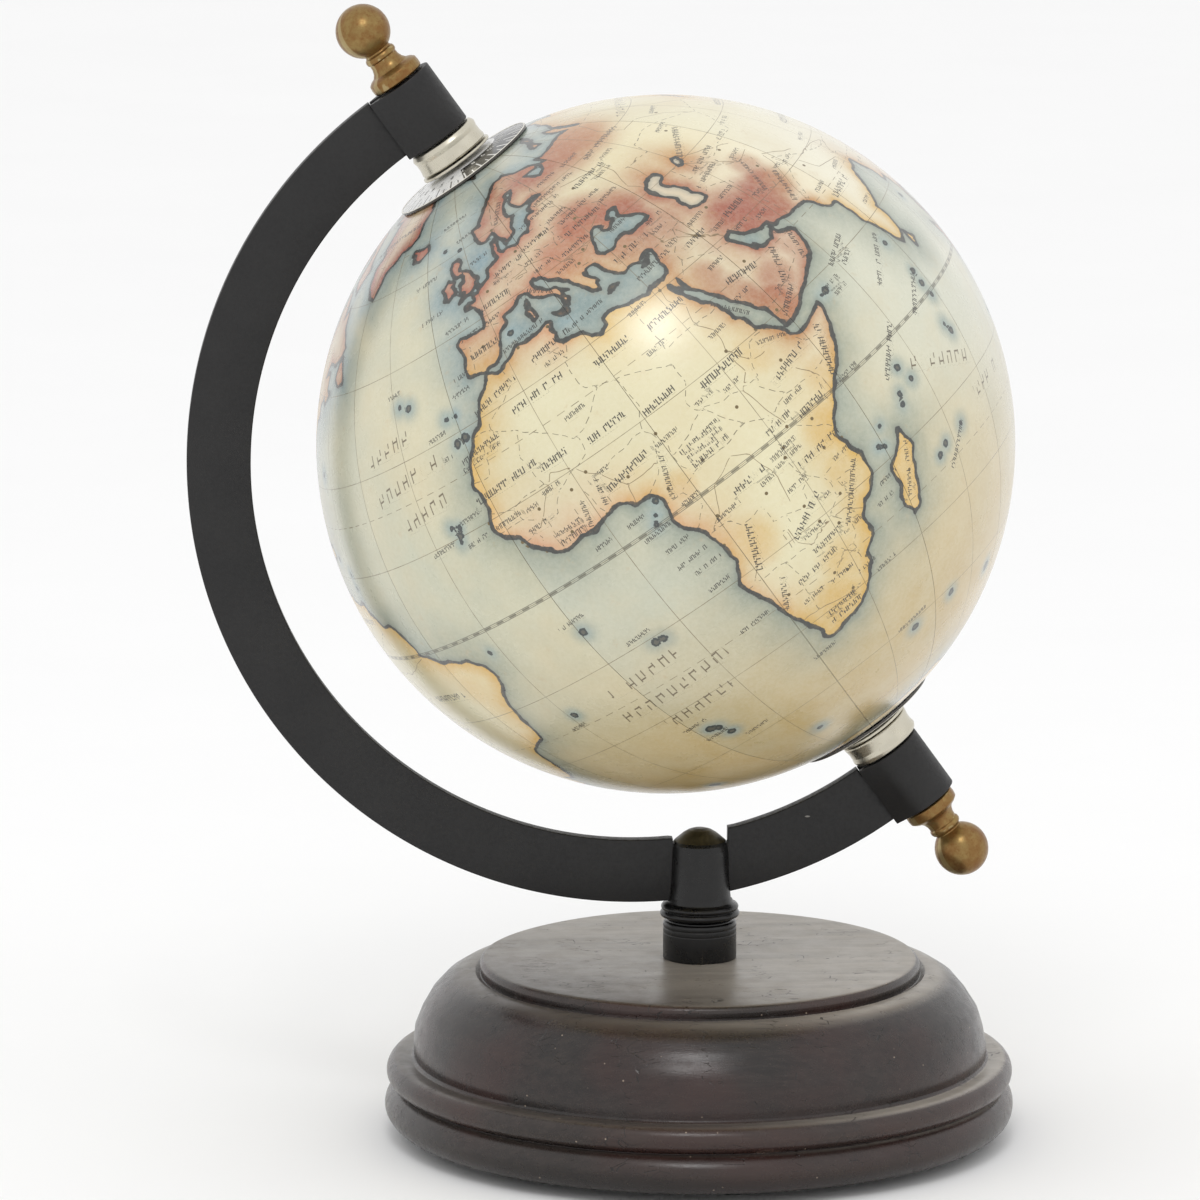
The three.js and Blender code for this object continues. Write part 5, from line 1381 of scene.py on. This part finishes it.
SMALL_NAMES = [
    (-10.6, 38, 3.4), (-12, 35.6, 4), (-29.4, 41, 3.4), (-20.4, 31, 4.2), (-20.6, 27, 4.2),
    (-28.6, 14.4, 6.4), (-20.4, 17, 5.4), (-21, 13.2, 5), (-15, -5.6, 6), (-7.6, -13.6, 5.4),
    (-13.8, -34.6, 5.4), (-12.6, -39.2, 5), (-5.6, -43, 5), (-30.8, -23, 4), (-2.4, 2.4, 4),
    (4.2, 2.6, 3.6), (6, -0.8, 5.6), (7.4, -4.2, 5), (8, -7.4, 6.6), (9.4, -9.8, 5.6), (9, -13.6, 4.6),
    (9.6, -23, 6.2), (16.6, -36.6, 5), (35.6, -29.6, 4.6), (40.6, -20, 4), (43, -17.2, 4.4),
    (37.4, -44.4, 7), (46.6, 0.6, 5.6), (56, 12.8, 4.4), (56.4, 11, 3.6), (8, 31.6, 4.2), (24, 23, 4.6),
    (6, 22.4, 4.4), (25.6, 30, 4), (33.6, 19, 4), (29.6, 11, 3.8), (24.6, 12, 4), (16, 10.6, 5),
    (4, 12.2, 4.4), (-4.4, 14.4, 4), (-9.4, 13.4, 3.6), (13.4, 0.6, 4), (17, -4.6, 5.4), (25.6, -4.4, 4.4),
    (28.6, -8, 4.4), (30.6, -12.6, 4), (26.6, -16, 4.4), (33, -19.6, 4.4), (27, -25.6, 5),
    (20.6, -25.6, 4.4), (31.8, -27.4, 4), (36.6, 3.6, 4.6), (42.8, 8.6, 4.4), (38, -8.6, 4.6),
    (36.6, -12.8, 4), (45.6, -22.4, 3.4), (-5.8, 43.6, 4), (-8.2, 46.4, 5.4), (-14.6, 50.4, 5),
    (-15.6, 57.6, 5), (3.4, 56, 3.8), (2.4, 62.6, 4.6), (-1.4, 67.6, 5), (0.4, 43.8, 4), (7, 49.6, 4),
    (16, 49, 4), (17, 46.6, 4.2), (20.6, 43.8, 4), (28, 53.6, 4.4), (26.4, 49.4, 4), (38, 53, 4.4),
    (41, 50, 4.6), (47, 54.4, 4.2), (30, 57, 4), (36, 62, 4.4), (47.6, 62, 4.6), (54, 57, 4.4),
    (36, 44, 4.2), (42, 40.6, 4), (40.6, 38.6, 4), (47.6, 35.6, 4.4), (49.6, 32, 4), (52.6, 29.6, 3.8),
    (58, 28.6, 4), (57.6, 35.4, 4.2), (42.6, 27.6, 3.8), (41.6, 21, 3.8), (48.6, 18, 4), (62.6, 31.6, 4),
    (71.6, 32, 4), (73.6, 24.6, 4.4), (80, 17.4, 4.4), (84.6, 24.6, 4.4), (76.6, 31.6, 4.2), (90, 31.6, 5),
    (96, 21, 4), (84, 44, 5), (76, 43, 4.4), (70, 39, 4), (73, 52.6, 4.4), (86, 56, 5),
]

MAINLANDS = [AFRICA, EURASIA, NORTH_AMERICA, SOUTH_AMERICA]
SMALL_NAME_STYLE = (0.85, 5)  # height in millimetres and turn in degrees
CASPIAN_CENTRE = (53.0, 42.5)  # inland waters near here are left the colour of the paper

# Tone of the printed land: longitude, latitude, reach in degrees, weight in the region's strong colour.
OCHRE = rgb(206, 163, 66)
PINK_OCHRE = rgb(206, 150, 110)
BRICK = rgb(150, 70, 50)
SAND = rgb(222, 192, 116)
PALE = rgb(222, 213, 174)
RUST = rgb(174, 100, 68)
# Painted sheen: a stretch round India is painted paler, standing in for the reflection of bright surroundings
# near the ball's edge.
LIMB_SHEEN = (76.0, 14.0, 30.0)  # longitude, latitude and reach of a paler stretch of the map
CLOSED_SEAS = [
    (5, 39, 4), (12, 37, 4), (19, 35, 6), (28, 34, 6), (34, 43, 5), (38, 20, 6), (20, 58, 5), (3, 56, 4),
    (51, 27, 4),
]  # longitude, latitude and reach of seas printed darker
REGION_TONES = [
    (28, 6, 26, OCHRE), (24, -25, 20, OCHRE), (-6, 8, 12, PINK_OCHRE), (10, -4, 9, PINK_OCHRE),
    (14, -20, 7, PINK_OCHRE), (-8, 30, 12, OCHRE), (10, 35, 5, PINK_OCHRE), (24, 29, 13, SAND),
    (35, 14, 6, SAND), (47, 16, 9, BRICK), (42, 22, 7, BRICK), (-14, 22, 9, OCHRE), (47, -19, 12, OCHRE),
    (8, 48, 18, RUST), (18, 64, 14, BRICK), (45, 25, 18, BRICK), (35, 40, 10, BRICK), (62, 30, 12, BRICK),
    (60, 66, 16, BRICK), (-42, 72, 22, BRICK), (-5, 55, 8, BRICK), (-19, 65, 6, BRICK), (78, 20, 14, OCHRE),
    (100, 62, 26, OCHRE), (110, 32, 18, BRICK), (-55, -15, 28, OCHRE), (-98, 40, 24, OCHRE),
    (-100, 60, 24, BRICK), (134, -25, 20, OCHRE), (0, -80, 30, OCHRE), (115, 0, 14, BRICK),
    (138, 37, 10, BRICK), (172, -41, 8, BRICK),
]
# Patches of strong tone away from any coast: longitude, latitude, reach in degrees, strength.
STRONG_PATCHES = [
    (31, 48.5, 6.5, 1.0), (38, 45.8, 6, 1.0), (22, 45, 7, 0.85), (11, 47, 5, 0.5), (43, 38.5, 5, 0.7),
    (41, 22.5, 3.5, 0.8), (30, 53, 4, 0.5), (34, 39.5, 6.5, 0.82), (54, 31, 7.5, 1.0), (61, 29.5, 7, 1.0),
    (66, 31, 5.5, 1.0), (68, 36, 3.6, 0.7), (39, 26.5, 4, 0.8), (50, 24.5, 3, 0.5), (30, 62, 5, 0.6),
    (39, 67, 8, 1.0), (48, 66, 8, 1.0), (59, 66, 8, 1.0), (66, 65.6, 6, 0.9), (52, 62, 4, 0.5),
    (25, 66, 4, 0.6), (28, 56.6, 3.4, 0.4), (17, -11, 5, 0.6), (24, -30, 6, 0.75), (29, -24, 5, 0.6),
    (8, 7.6, 3.4, 0.35), (17, 30, 4, 0.45), (37, 13, 4.5, 0.55), (38.5, -4, 5, 0.75), (37, -11, 4.5, 0.6),
    (36, -17, 4, 0.6), (43, 3, 4, 0.6), (40, 8, 4, 0.3), (13, 3, 3.4, 0.6), (-12, 26, 4, 0.6),
    (-8, 31, 3.4, 0.5), (-11, 12, 4, 0.4), (-4, 8, 4, 0.4), (34, 20, 3, 0.35), (24, 31, 3.6, 0.4),
    (49, 19, 5, 0.8), (45.5, 16, 5, 1.0), (41.5, 20, 4, 0.9), (56, 22, 3.4, 0.7), (15, 49, 5, 0.3),
    (-4, 40, 4, 0.6), (17, 62, 4, 0.4), (33, 66, 5, 0.6), (-43, -8, 5, 0.4), (47, -19, 3, 0.35),
]


# ---------- geography on the sphere ----------
def unit(longitude, latitude):
    """Points on the unit sphere in the map's own frame, +Z north."""
    lon, lat = np.radians(longitude), np.radians(latitude)
    return np.stack([np.cos(lat) * np.cos(lon), np.cos(lat) * np.sin(lon), np.sin(lat)], axis=-1)


def value_noise(points, scale, seed):
    """Smooth noise from -1 to 1 at 3D points, the same each run."""
    table = np.random.default_rng(seed).uniform(-1, 1, 4096)
    spot = points * scale + 100.0
    cell = np.floor(spot).astype(np.int64)
    share = spot - cell
    share = share * share * (3 - 2 * share)
    total = np.zeros(len(points))
    for corner in range(8):
        offset = np.array([corner & 1, corner >> 1 & 1, corner >> 2 & 1])
        weight = np.prod(np.where(offset, share, 1 - share), axis=1)
        x, y, z = (cell + offset).T
        total += weight * table[(x * 73856093 ^ y * 19349663 ^ z * 83492791) % 4096]
    return total


def inside_outline(outline, longitude, latitude):
    """Which points lie inside a closed outline. Longitudes are wrapped round the outline's own."""
    corners = np.array(outline, float)
    middle = (corners[:, 0].min() + corners[:, 0].max()) / 2
    lon = (longitude - middle + 180) % 360 - 180 + middle
    low, high = corners.min(0), corners.max(0)
    chosen = np.flatnonzero((lon >= low[0]) & (lon <= high[0]) & (latitude >= low[1]) & (latitude <= high[1]))
    x, y = lon[chosen], latitude[chosen]
    odd = np.zeros(len(chosen), bool)
    for (x1, y1), (x2, y2) in zip(corners, np.roll(corners, -1, axis=0)):
        if y1 == y2:
            continue
        crosses = (y1 > y) != (y2 > y)
        odd ^= crosses & (x < (x2 - x1) * (y - y1) / (y2 - y1) + x1)
    result = np.zeros(len(longitude), bool)
    result[chosen[odd]] = True
    return result


def split(outline, closed, longest=1.5):
    """Segments of an outline as longitude-latitude pairs, none longer than longest degrees."""
    corners = [tuple(map(float, c)) for c in outline]
    pairs = list(zip(corners, corners[1:] + (corners[:1] if closed else [])))
    starts, ends = [], []
    for a, b in pairs:
        if abs(a[0]) == 180 == abs(b[0]) or (a[1] == -90 and b[1] == -90):
            continue
        count = max(1, math.ceil(math.dist(a, b) / longest))
        steps = np.linspace(0, 1, count + 1)[:, None]
        run = np.array(a) * (1 - steps) + np.array(b) * steps
        starts.append(run[:-1])
        ends.append(run[1:])
    return np.concatenate(starts), np.concatenate(ends)


def nearest(points, blocks, starts, ends, reach):
    """For each point, the distance in mm to the nearest segment, that segment, and the share along it."""
    a, b = unit(*starts.T) * GLOBE_RADIUS, unit(*ends.T) * GLOBE_RADIUS
    middle = (a + b) / 2
    half = np.linalg.norm(b - a, axis=1).max() / 2
    gap = np.full(len(points), float(reach))
    which = np.full(len(points), -1)
    share = np.zeros(len(points))
    for block in blocks:
        here = points[block]
        centre = here.mean(0)
        radius = np.linalg.norm(here - centre, axis=1).max()
        near = np.flatnonzero(np.linalg.norm(middle - centre, axis=1) < radius + reach + half)
        if not len(near):
            continue
        along = b[near] - a[near]
        length = np.maximum((along**2).sum(1), 1e-9)
        t = ((here[:, None] - a[near]) * along).sum(2) / length
        t = np.clip(t, 0, 1)
        away = np.linalg.norm(here[:, None] - a[near] - t[..., None] * along, axis=2)
        best = away.argmin(1)
        row = np.arange(len(here))
        closer = away[row, best] < gap[block]
        gap[block] = np.where(closer, away[row, best], gap[block])
        which[block] = np.where(closer, near[best], which[block])
        share[block] = np.where(closer, t[row, best], share[block])
    return gap, which, share


def tangent_frame(points):
    """East and north directions at points on the ball."""
    normal = points / np.linalg.norm(points, axis=1, keepdims=True)
    east = np.stack([-normal[:, 1], normal[:, 0], np.zeros(len(points))], axis=1)
    east /= np.maximum(np.linalg.norm(east, axis=1, keepdims=True), 1e-9)
    return east, np.cross(normal, east)


def offsets_to(points, targets):
    """Millimetres east and north from each target to its point."""
    east, north = tangent_frame(targets)
    away = points - targets
    return (away * east).sum(1), (away * north).sum(1)


class WorldMap:
    """The printed map's values at the points of every gore."""

    def __init__(self, longitude, latitude, blocks):
        self.longitude, self.latitude = longitude, latitude
        self.unit = unit(longitude, latitude)
        self.points = self.unit * GLOBE_RADIUS
        self.blocks = blocks
        self.draw_coasts()
        self.draw_strokes()
        self.draw_dots()
        self.draw_names()
        self.paint()

    def draw_coasts(self):
        """Signed distance to the nearest coast in mm, positive on land."""
        wander_lon = 0.5 * value_noise(self.unit, 26, 1) + 0.3 * value_noise(self.unit, 52, 2)
        wander_lat = 0.5 * value_noise(self.unit, 26, 3) + 0.3 * value_noise(self.unit, 52, 4)
        calm = 0.75 / np.maximum(np.cos(np.radians(self.latitude)), 0.2)
        lon = self.longitude + wander_lon * calm
        lat = np.clip(self.latitude + wander_lat * 0.75, -89.9, 89.9)
        lands = [*MAINLANDS, GREENLAND, AUSTRALIA, ANTARCTICA, *SMALLER_LANDS]
        land = np.zeros(len(lon), bool)
        for outline in lands:
            land |= inside_outline(outline, lon, lat)
        for outline in INLAND_WATERS:
            land &= ~inside_outline(outline, lon, lat)
        starts, ends = [], []
        for i, outline in enumerate(lands):
            a, b = split(outline, True)
            middle = (a + b) / 2
            hidden = np.zeros(len(a), bool)
            if i < len(MAINLANDS):  # where two of these share a border, no coast is drawn
                for other in [o for j, o in enumerate(MAINLANDS) if j != i]:
                    hidden |= inside_outline(other, middle[:, 0], middle[:, 1])
            starts.append(a[~hidden])
            ends.append(b[~hidden])
        for outline in INLAND_WATERS:
            a, b = split(outline, True)
            starts.append(a)
            ends.append(b)
        warped = unit(lon, lat) * GLOBE_RADIUS
        gap, _, _ = nearest(warped, self.blocks, np.concatenate(starts), np.concatenate(ends), 12.0)
        self.coast = np.where(land, gap, -gap)

    def draw_strokes(self):
        """Offset to the nearest border or river, its length so far, and which of the two it is."""
        starts, ends, before, kinds = [], [], [], []
        for kind, lines in enumerate((BORDERS, RIVERS)):
            for outline in lines:
                a, b = split(outline, False, 1.0)
                length = np.linalg.norm(unit(*b.T) - unit(*a.T), axis=1) * GLOBE_RADIUS
                starts.append(a)
                ends.append(b)
                before.append(np.concatenate([[0], np.cumsum(length)[:-1]]))
                kinds.append(np.full(len(a), float(kind)))
        starts, ends = np.concatenate(starts), np.concatenate(ends)
        before, kinds = np.concatenate(before), np.concatenate(kinds)
        wobble = 0.35 * value_noise(self.unit, 30, 5), 0.35 * value_noise(self.unit, 30, 6)
        lon, lat = self.longitude + wobble[0], np.clip(self.latitude + wobble[1], -89.9, 89.9)
        points = unit(lon, lat) * GLOBE_RADIUS
        gap, which, share = nearest(points, self.blocks, starts, ends, 3.0)
        a, b = unit(*starts[which].T) * GLOBE_RADIUS, unit(*ends[which].T) * GLOBE_RADIUS
        foot = a + (b - a) * share[:, None]
        x, y = offsets_to(points, foot)
        found = which >= 0
        x, y = np.where(found, x, 5.0), np.where(found, y, 5.0)
        self.stroke = np.stack([x, y, np.where(found, gap, 5.0)], axis=1)
        length = np.linalg.norm(b - a, axis=1) * share + before[which]
        self.stroke_length, self.stroke_kind = length, np.where(found, kinds[which], 0.0)

    def draw_dots(self):
        """Offset to the nearest town or small island, its radius, and the gap to the nearest island."""
        spots = [(lon, lat, 0.3) for lon, lat in TOWNS] + ISLES
        spots = np.array(spots, float)
        starts = spots[:, :2]
        gap, which, _ = nearest(self.points, self.blocks, starts, starts + [0.001, 0.0], 4.0)
        x, y = offsets_to(self.points, unit(*starts[which].T) * GLOBE_RADIUS)
        found = which >= 0
        x, y = np.where(found, x, 5.0), np.where(found, y, 5.0)
        self.dot = np.stack([x, y, np.where(found, spots[which, 2], 0.0)], axis=1)
        gap = np.where(found, gap, 5.0)
        self.stroke_style = np.stack([self.stroke_length, self.stroke_kind, gap], axis=1)
        isles = np.array(ISLES, float)[:, :2]
        self.isle_gap, _, _ = nearest(self.points, self.blocks, isles, isles + [0.001, 0.0], 9.0)

    def draw_names(self):
        """Place along and across the nearest name with its height, and its half length, pitch and seed."""
        self.label = np.tile([0.0, 9.0, 0.0], (len(self.points), 1))
        self.label_style = np.tile([0.0, 1.0, 0.0], (len(self.points), 1))
        names = [(lon, lat, length, *SMALL_NAME_STYLE) for lon, lat, length in SMALL_NAMES]
        names += [(lon, lat, length, height * 1.05, turn) for lon, lat, length, height, turn in NAMES]
        for number, (lon, lat, length, height, turn) in enumerate(names):
            centre = unit(np.array([lon]), np.array([lat])) * GLOBE_RADIUS
            around = np.flatnonzero(((self.points - centre) ** 2).sum(1) < (length / 2 + 2) ** 2)
            if not len(around):
                continue
            x, y = offsets_to(self.points[around], np.repeat(centre, len(around), axis=0))
            cosine, sine = math.cos(math.radians(turn)), math.sin(math.radians(turn))
            along, across = x * cosine + y * sine, -x * sine + y * cosine
            chosen = (np.abs(along) < length / 2 + 0.6) & (np.abs(across) < height / 2 + 0.6)
            target = around[chosen]
            spaced = 1.15 if height > OCEAN_NAME_HEIGHT else 0.8
            self.label[target, 0], self.label[target, 1] = along[chosen], across[chosen]
            self.label[target, 2] = height
            self.label_style[target] = (length / 2, height * spaced, number * 3.0)

    def degrees_from(self, longitude, latitude):
        return np.degrees(np.arccos(np.clip(self.unit @ unit(longitude, latitude), -1, 1)))

    def spot(self, longitude, latitude, reach):
        """1 at a place on the map, falling to 0 a little past its reach in degrees."""
        return np.exp(-((self.degrees_from(longitude, latitude) / reach) ** 4))

    def paint(self):
        """Land and sea colours at each point, without the lines."""
        weight_sum = np.full(len(self.points), 1e-3)
        strong = np.tile(OCHRE, (len(self.points), 1)) * 1e-3
        for lon, lat, reach, tone in REGION_TONES:
            weight = np.exp(-((self.degrees_from(lon, lat) / (0.75 * reach)) ** 2))
            weight_sum += weight
            strong += weight[:, None] * tone
        strong /= weight_sum[:, None]
        blotch = 0.5 + 0.5 * value_noise(self.unit, 9, 7)
        patchy = 0.5 + 0.5 * value_noise(self.unit, 22, 8)
        narrow = 1 - 0.3 * np.exp(-((self.longitude - 14) / 18) ** 2 - ((self.latitude - 50) / 9) ** 2)
        fringe = (2.1 + 3.2 * blotch) * narrow
        edge = np.exp(-np.maximum(self.coast, 0) / fringe) * (0.88 + 0.4 * patchy)
        for lon, lat, reach, strength in STRONG_PATCHES:
            patch = strength * self.spot(lon, lat, reach) * (0.92 + 0.25 * patchy)
            edge = np.maximum(edge, patch)
        edge = np.clip(edge, 0, 1)[:, None]
        pale = PALE * (1 - 0.06 * blotch[:, None])
        self.land = pale * (1 - edge) + strong * edge

        north = np.clip((self.latitude - 12) / 40, 0, 1)[:, None]
        shallow = rgb(132, 142, 126) * (1 - north) + rgb(120, 144, 148) * north
        middle, open_sea, deep = rgb(184, 190, 172), rgb(210, 202, 170), rgb(190, 160, 92)
        sea_gap = np.maximum(-self.coast, 0)
        near = np.exp(-((sea_gap / (4.0 + 3.6 * blotch)) ** 1.3)) * (0.75 + 0.25 * patchy)
        near = np.maximum(near, 0.8 * np.exp(-((self.isle_gap / 2.2) ** 2)))
        for closed_sea in CLOSED_SEAS:
            near = np.maximum(near, self.spot(*closed_sea))
        near = near[:, None]
        southern = np.clip((-self.latitude - 8) / 40, 0, 1)[:, None] * (0.65 + 0.35 * patchy[:, None])
        broad = open_sea * (1 - southern) + deep * southern
        veil = np.clip(0.75 * (0.5 + 0.5 * value_noise(self.unit, 5, 9)) + 0.2 * patchy, 0, 1)[:, None]
        veil = veil * np.clip((self.latitude[:, None] + 40) / 45, 0.05, 1)
        broad = broad * (1 - veil) + middle * veil
        # Painted sheen: land and sea are lightened round that spot.
        painted_sheen = 0.6 * self.spot(*LIMB_SHEEN)[:, None]
        painted_sheen_land = painted_sheen * (1 - edge)
        self.land = self.land * (1 - painted_sheen_land) + rgb(240, 236, 220) * painted_sheen_land
        broad = broad * (1 - painted_sheen) + rgb(216, 217, 200) * painted_sheen
        isle_halo = np.exp(-((self.isle_gap / 1.7) ** 2))[:, None]
        sea = broad * (1 - near) + shallow * near
        sea = sea * (1 - 0.6 * isle_halo) + rgb(138, 162, 164) * 0.6 * isle_halo
        caspian = np.clip((13 - self.degrees_from(*CASPIAN_CENTRE)) / 3, 0, 1)
        caspian = (caspian * (self.longitude > 45))[:, None]
        self.sea = sea * (1 - caspian) + rgb(204, 190, 164) * caspian


def make_gores():
    rows = round((180 - 2 * GORE_END_COLATITUDE) / MAP_STEP)
    half_width = 180 / GORE_COUNT
    columns = round(2 * half_width / MAP_STEP)
    colatitude = np.linspace(GORE_END_COLATITUDE, 180 - GORE_END_COLATITUDE, rows + 1)
    across = np.linspace(-half_width, half_width, columns + 1)
    gap_degrees = np.degrees(SEAM_GAP / 2 / GLOBE_RADIUS) / np.sin(np.radians(colatitude))
    local = np.clip(across[None, :], -half_width + gap_degrees[:, None], half_width - gap_degrees[:, None])
    count = (rows + 1) * (columns + 1)
    longitude, latitude, blocks = [], [], []
    rows_in_block = 9
    for gore in range(GORE_COUNT):
        longitude.append((local + gore * 2 * half_width).ravel())
        latitude.append(np.repeat(90 - colatitude, columns + 1))
        for row in range(0, rows + 1, rows_in_block):
            stop = min(row + rows_in_block, rows + 1)
            blocks.append(np.arange(row * (columns + 1), stop * (columns + 1)) + gore * count)
    world = WorldMap(np.concatenate(longitude), np.concatenate(latitude), blocks)

    grid = np.arange(count).reshape(rows + 1, columns + 1)
    faces = np.stack([grid[:-1, :-1], grid[1:, :-1], grid[1:, 1:], grid[:-1, 1:]], axis=-1).reshape(-1, 4)
    rim = np.concatenate([grid[:, 0], grid[-1, 1:], grid[::-1, -1][1:], grid[0, ::-1][1:-1]])
    skirt = count + np.arange(len(rim))
    walls = np.stack([rim, skirt, np.roll(skirt, -1), np.roll(rim, -1)], axis=-1)
    faces = np.concatenate([faces, walls])
    turn = POLAR_FRAME @ Matrix.Rotation(math.radians(ZERO_MERIDIAN), 4, "Z")
    gore_tones = np.random.default_rng(11).uniform(-0.6, 0.6, (GORE_COUNT, 2))
    gore_tones[0], gore_tones[-1] = (-0.5, -1.0), (0.6, 1.0)  # either side of the 15 degree west seam
    for gore in range(GORE_COUNT):
        part = slice(gore * count, (gore + 1) * count)
        surface = world.points[part]
        points = np.concatenate([surface, surface[rim] * (1 - GORE_DEPTH / GLOBE_RADIUS)])
        name = f"map_gore_{gore + 1:02d}"
        mesh = bpy.data.meshes.new(name + "_paper")
        mesh.from_pydata(points.tolist(), [], faces.tolist())

        def filled(values):
            return np.concatenate([values, values[rim]])

        east = (world.longitude[part] + 180) % 360 - 180 + 360
        east = np.where(east - east[count // 2] > 180, east - 360, east)
        east = np.where(east[count // 2] - east > 180, east + 360, east)
        geo = np.stack([east, world.latitude[part], world.coast[part]], axis=1)
        add_vectors(mesh, "geo", filled(geo))
        for layer in ("stroke", "stroke_style", "dot", "label", "label_style"):
            add_vectors(mesh, layer, filled(getattr(world, layer)[part]))
        light, warm = gore_tones[gore]
        tone = 1 + 0.02 * light + warm * np.array([0.035, 0.01, -0.03])
        for layer in ("land", "sea"):
            add_colors(mesh, layer, filled(getattr(world, layer)[part] * tone))
        finish_piece(name + "_paper", mesh, "globe", turn, [map_paper], name, "printed_paper", 60)


make_gores()


# ---------- floor, light and camera ----------
FLOOR_RADIUS, FLOOR_SIDES = 6000.0, 96


def make_floor():
    shader = Shader("pale_floor")
    cloud = shader.noise(shader.place(), 0.01, 3.0)
    color = shader.mix(cloud, srgb(246, 246, 246), srgb(249, 249, 249))
    material = shader.finish(color, 0.9, specular_ior_level=0.1)
    points, faces = turned([(0.01, 0.0), (FLOOR_RADIUS, 0.0)], FLOOR_SIDES, closed=False)
    mesh = bpy.data.meshes.new("floor")
    mesh.from_pydata([(x * MM, y * MM, 0.0) for x, y, _ in points], [], faces[:FLOOR_SIDES])
    mesh.materials.append(material)
    floor = bpy.data.objects.new("floor", mesh)
    bpy.context.scene.collection.objects.link(floor)


def make_light(name, azimuth, elevation, distance, size, watts):
    """A soft square light aimed at the ball. Azimuth 0 is in front of the object."""
    data = bpy.data.lights.new(name, "AREA")
    data.energy, data.size = watts, size
    lamp = bpy.data.objects.new(name, data)
    bpy.context.scene.collection.objects.link(lamp)
    a, e = math.radians(azimuth), math.radians(elevation)
    back = Vector((math.sin(a) * math.cos(e), -math.cos(a) * math.cos(e), math.sin(e)))
    lamp.location = Vector((0, 0, 0.12)) + back * distance
    lamp.rotation_mode = "QUATERNION"
    lamp.rotation_quaternion = (-back).to_track_quat("-Z", "Y")


def make_world():
    world = bpy.data.worlds.new("studio")
    world.use_nodes = True
    background = world.node_tree.nodes["Background"]
    background.inputs[0].default_value = (1, 1, 1, 1)
    background.inputs[1].default_value = 1.0
    bpy.context.scene.world = world


CAMERA_DISTANCE = 1.5
CAMERA_LENS = 246.58  # millimetres, on a 36 mm sensor
CAMERA_TURN = 3.392  # degrees, the left end of the arm comes nearer
CAMERA_ELEVATION = 10.44
CAMERA_TARGET = Vector((-0.00049, 0.00108, 0.09974))


def make_camera():
    data = bpy.data.cameras.new("camera")
    data.lens, data.sensor_width = CAMERA_LENS, 36.0
    data.clip_start, data.clip_end = 0.05, 50.0
    camera = bpy.data.objects.new("camera", data)
    bpy.context.scene.collection.objects.link(camera)
    turn, rise = math.radians(CAMERA_TURN), math.radians(CAMERA_ELEVATION)
    forward = Vector((math.sin(turn) * math.cos(rise), math.cos(turn) * math.cos(rise), -math.sin(rise)))
    camera.location = CAMERA_TARGET - forward * CAMERA_DISTANCE
    camera.rotation_mode = "QUATERNION"
    camera.rotation_quaternion = forward.to_track_quat("-Z", "Y")
    bpy.context.scene.camera = camera


make_floor()
make_world()
make_light("key", azimuth=-6.5, elevation=48.4, distance=1.2, size=0.3, watts=2.1)
make_light("side", azimuth=62, elevation=28, distance=1.4, size=0.9, watts=0.35)
make_camera()
bpy.context.scene.view_settings.view_transform = "Standard"
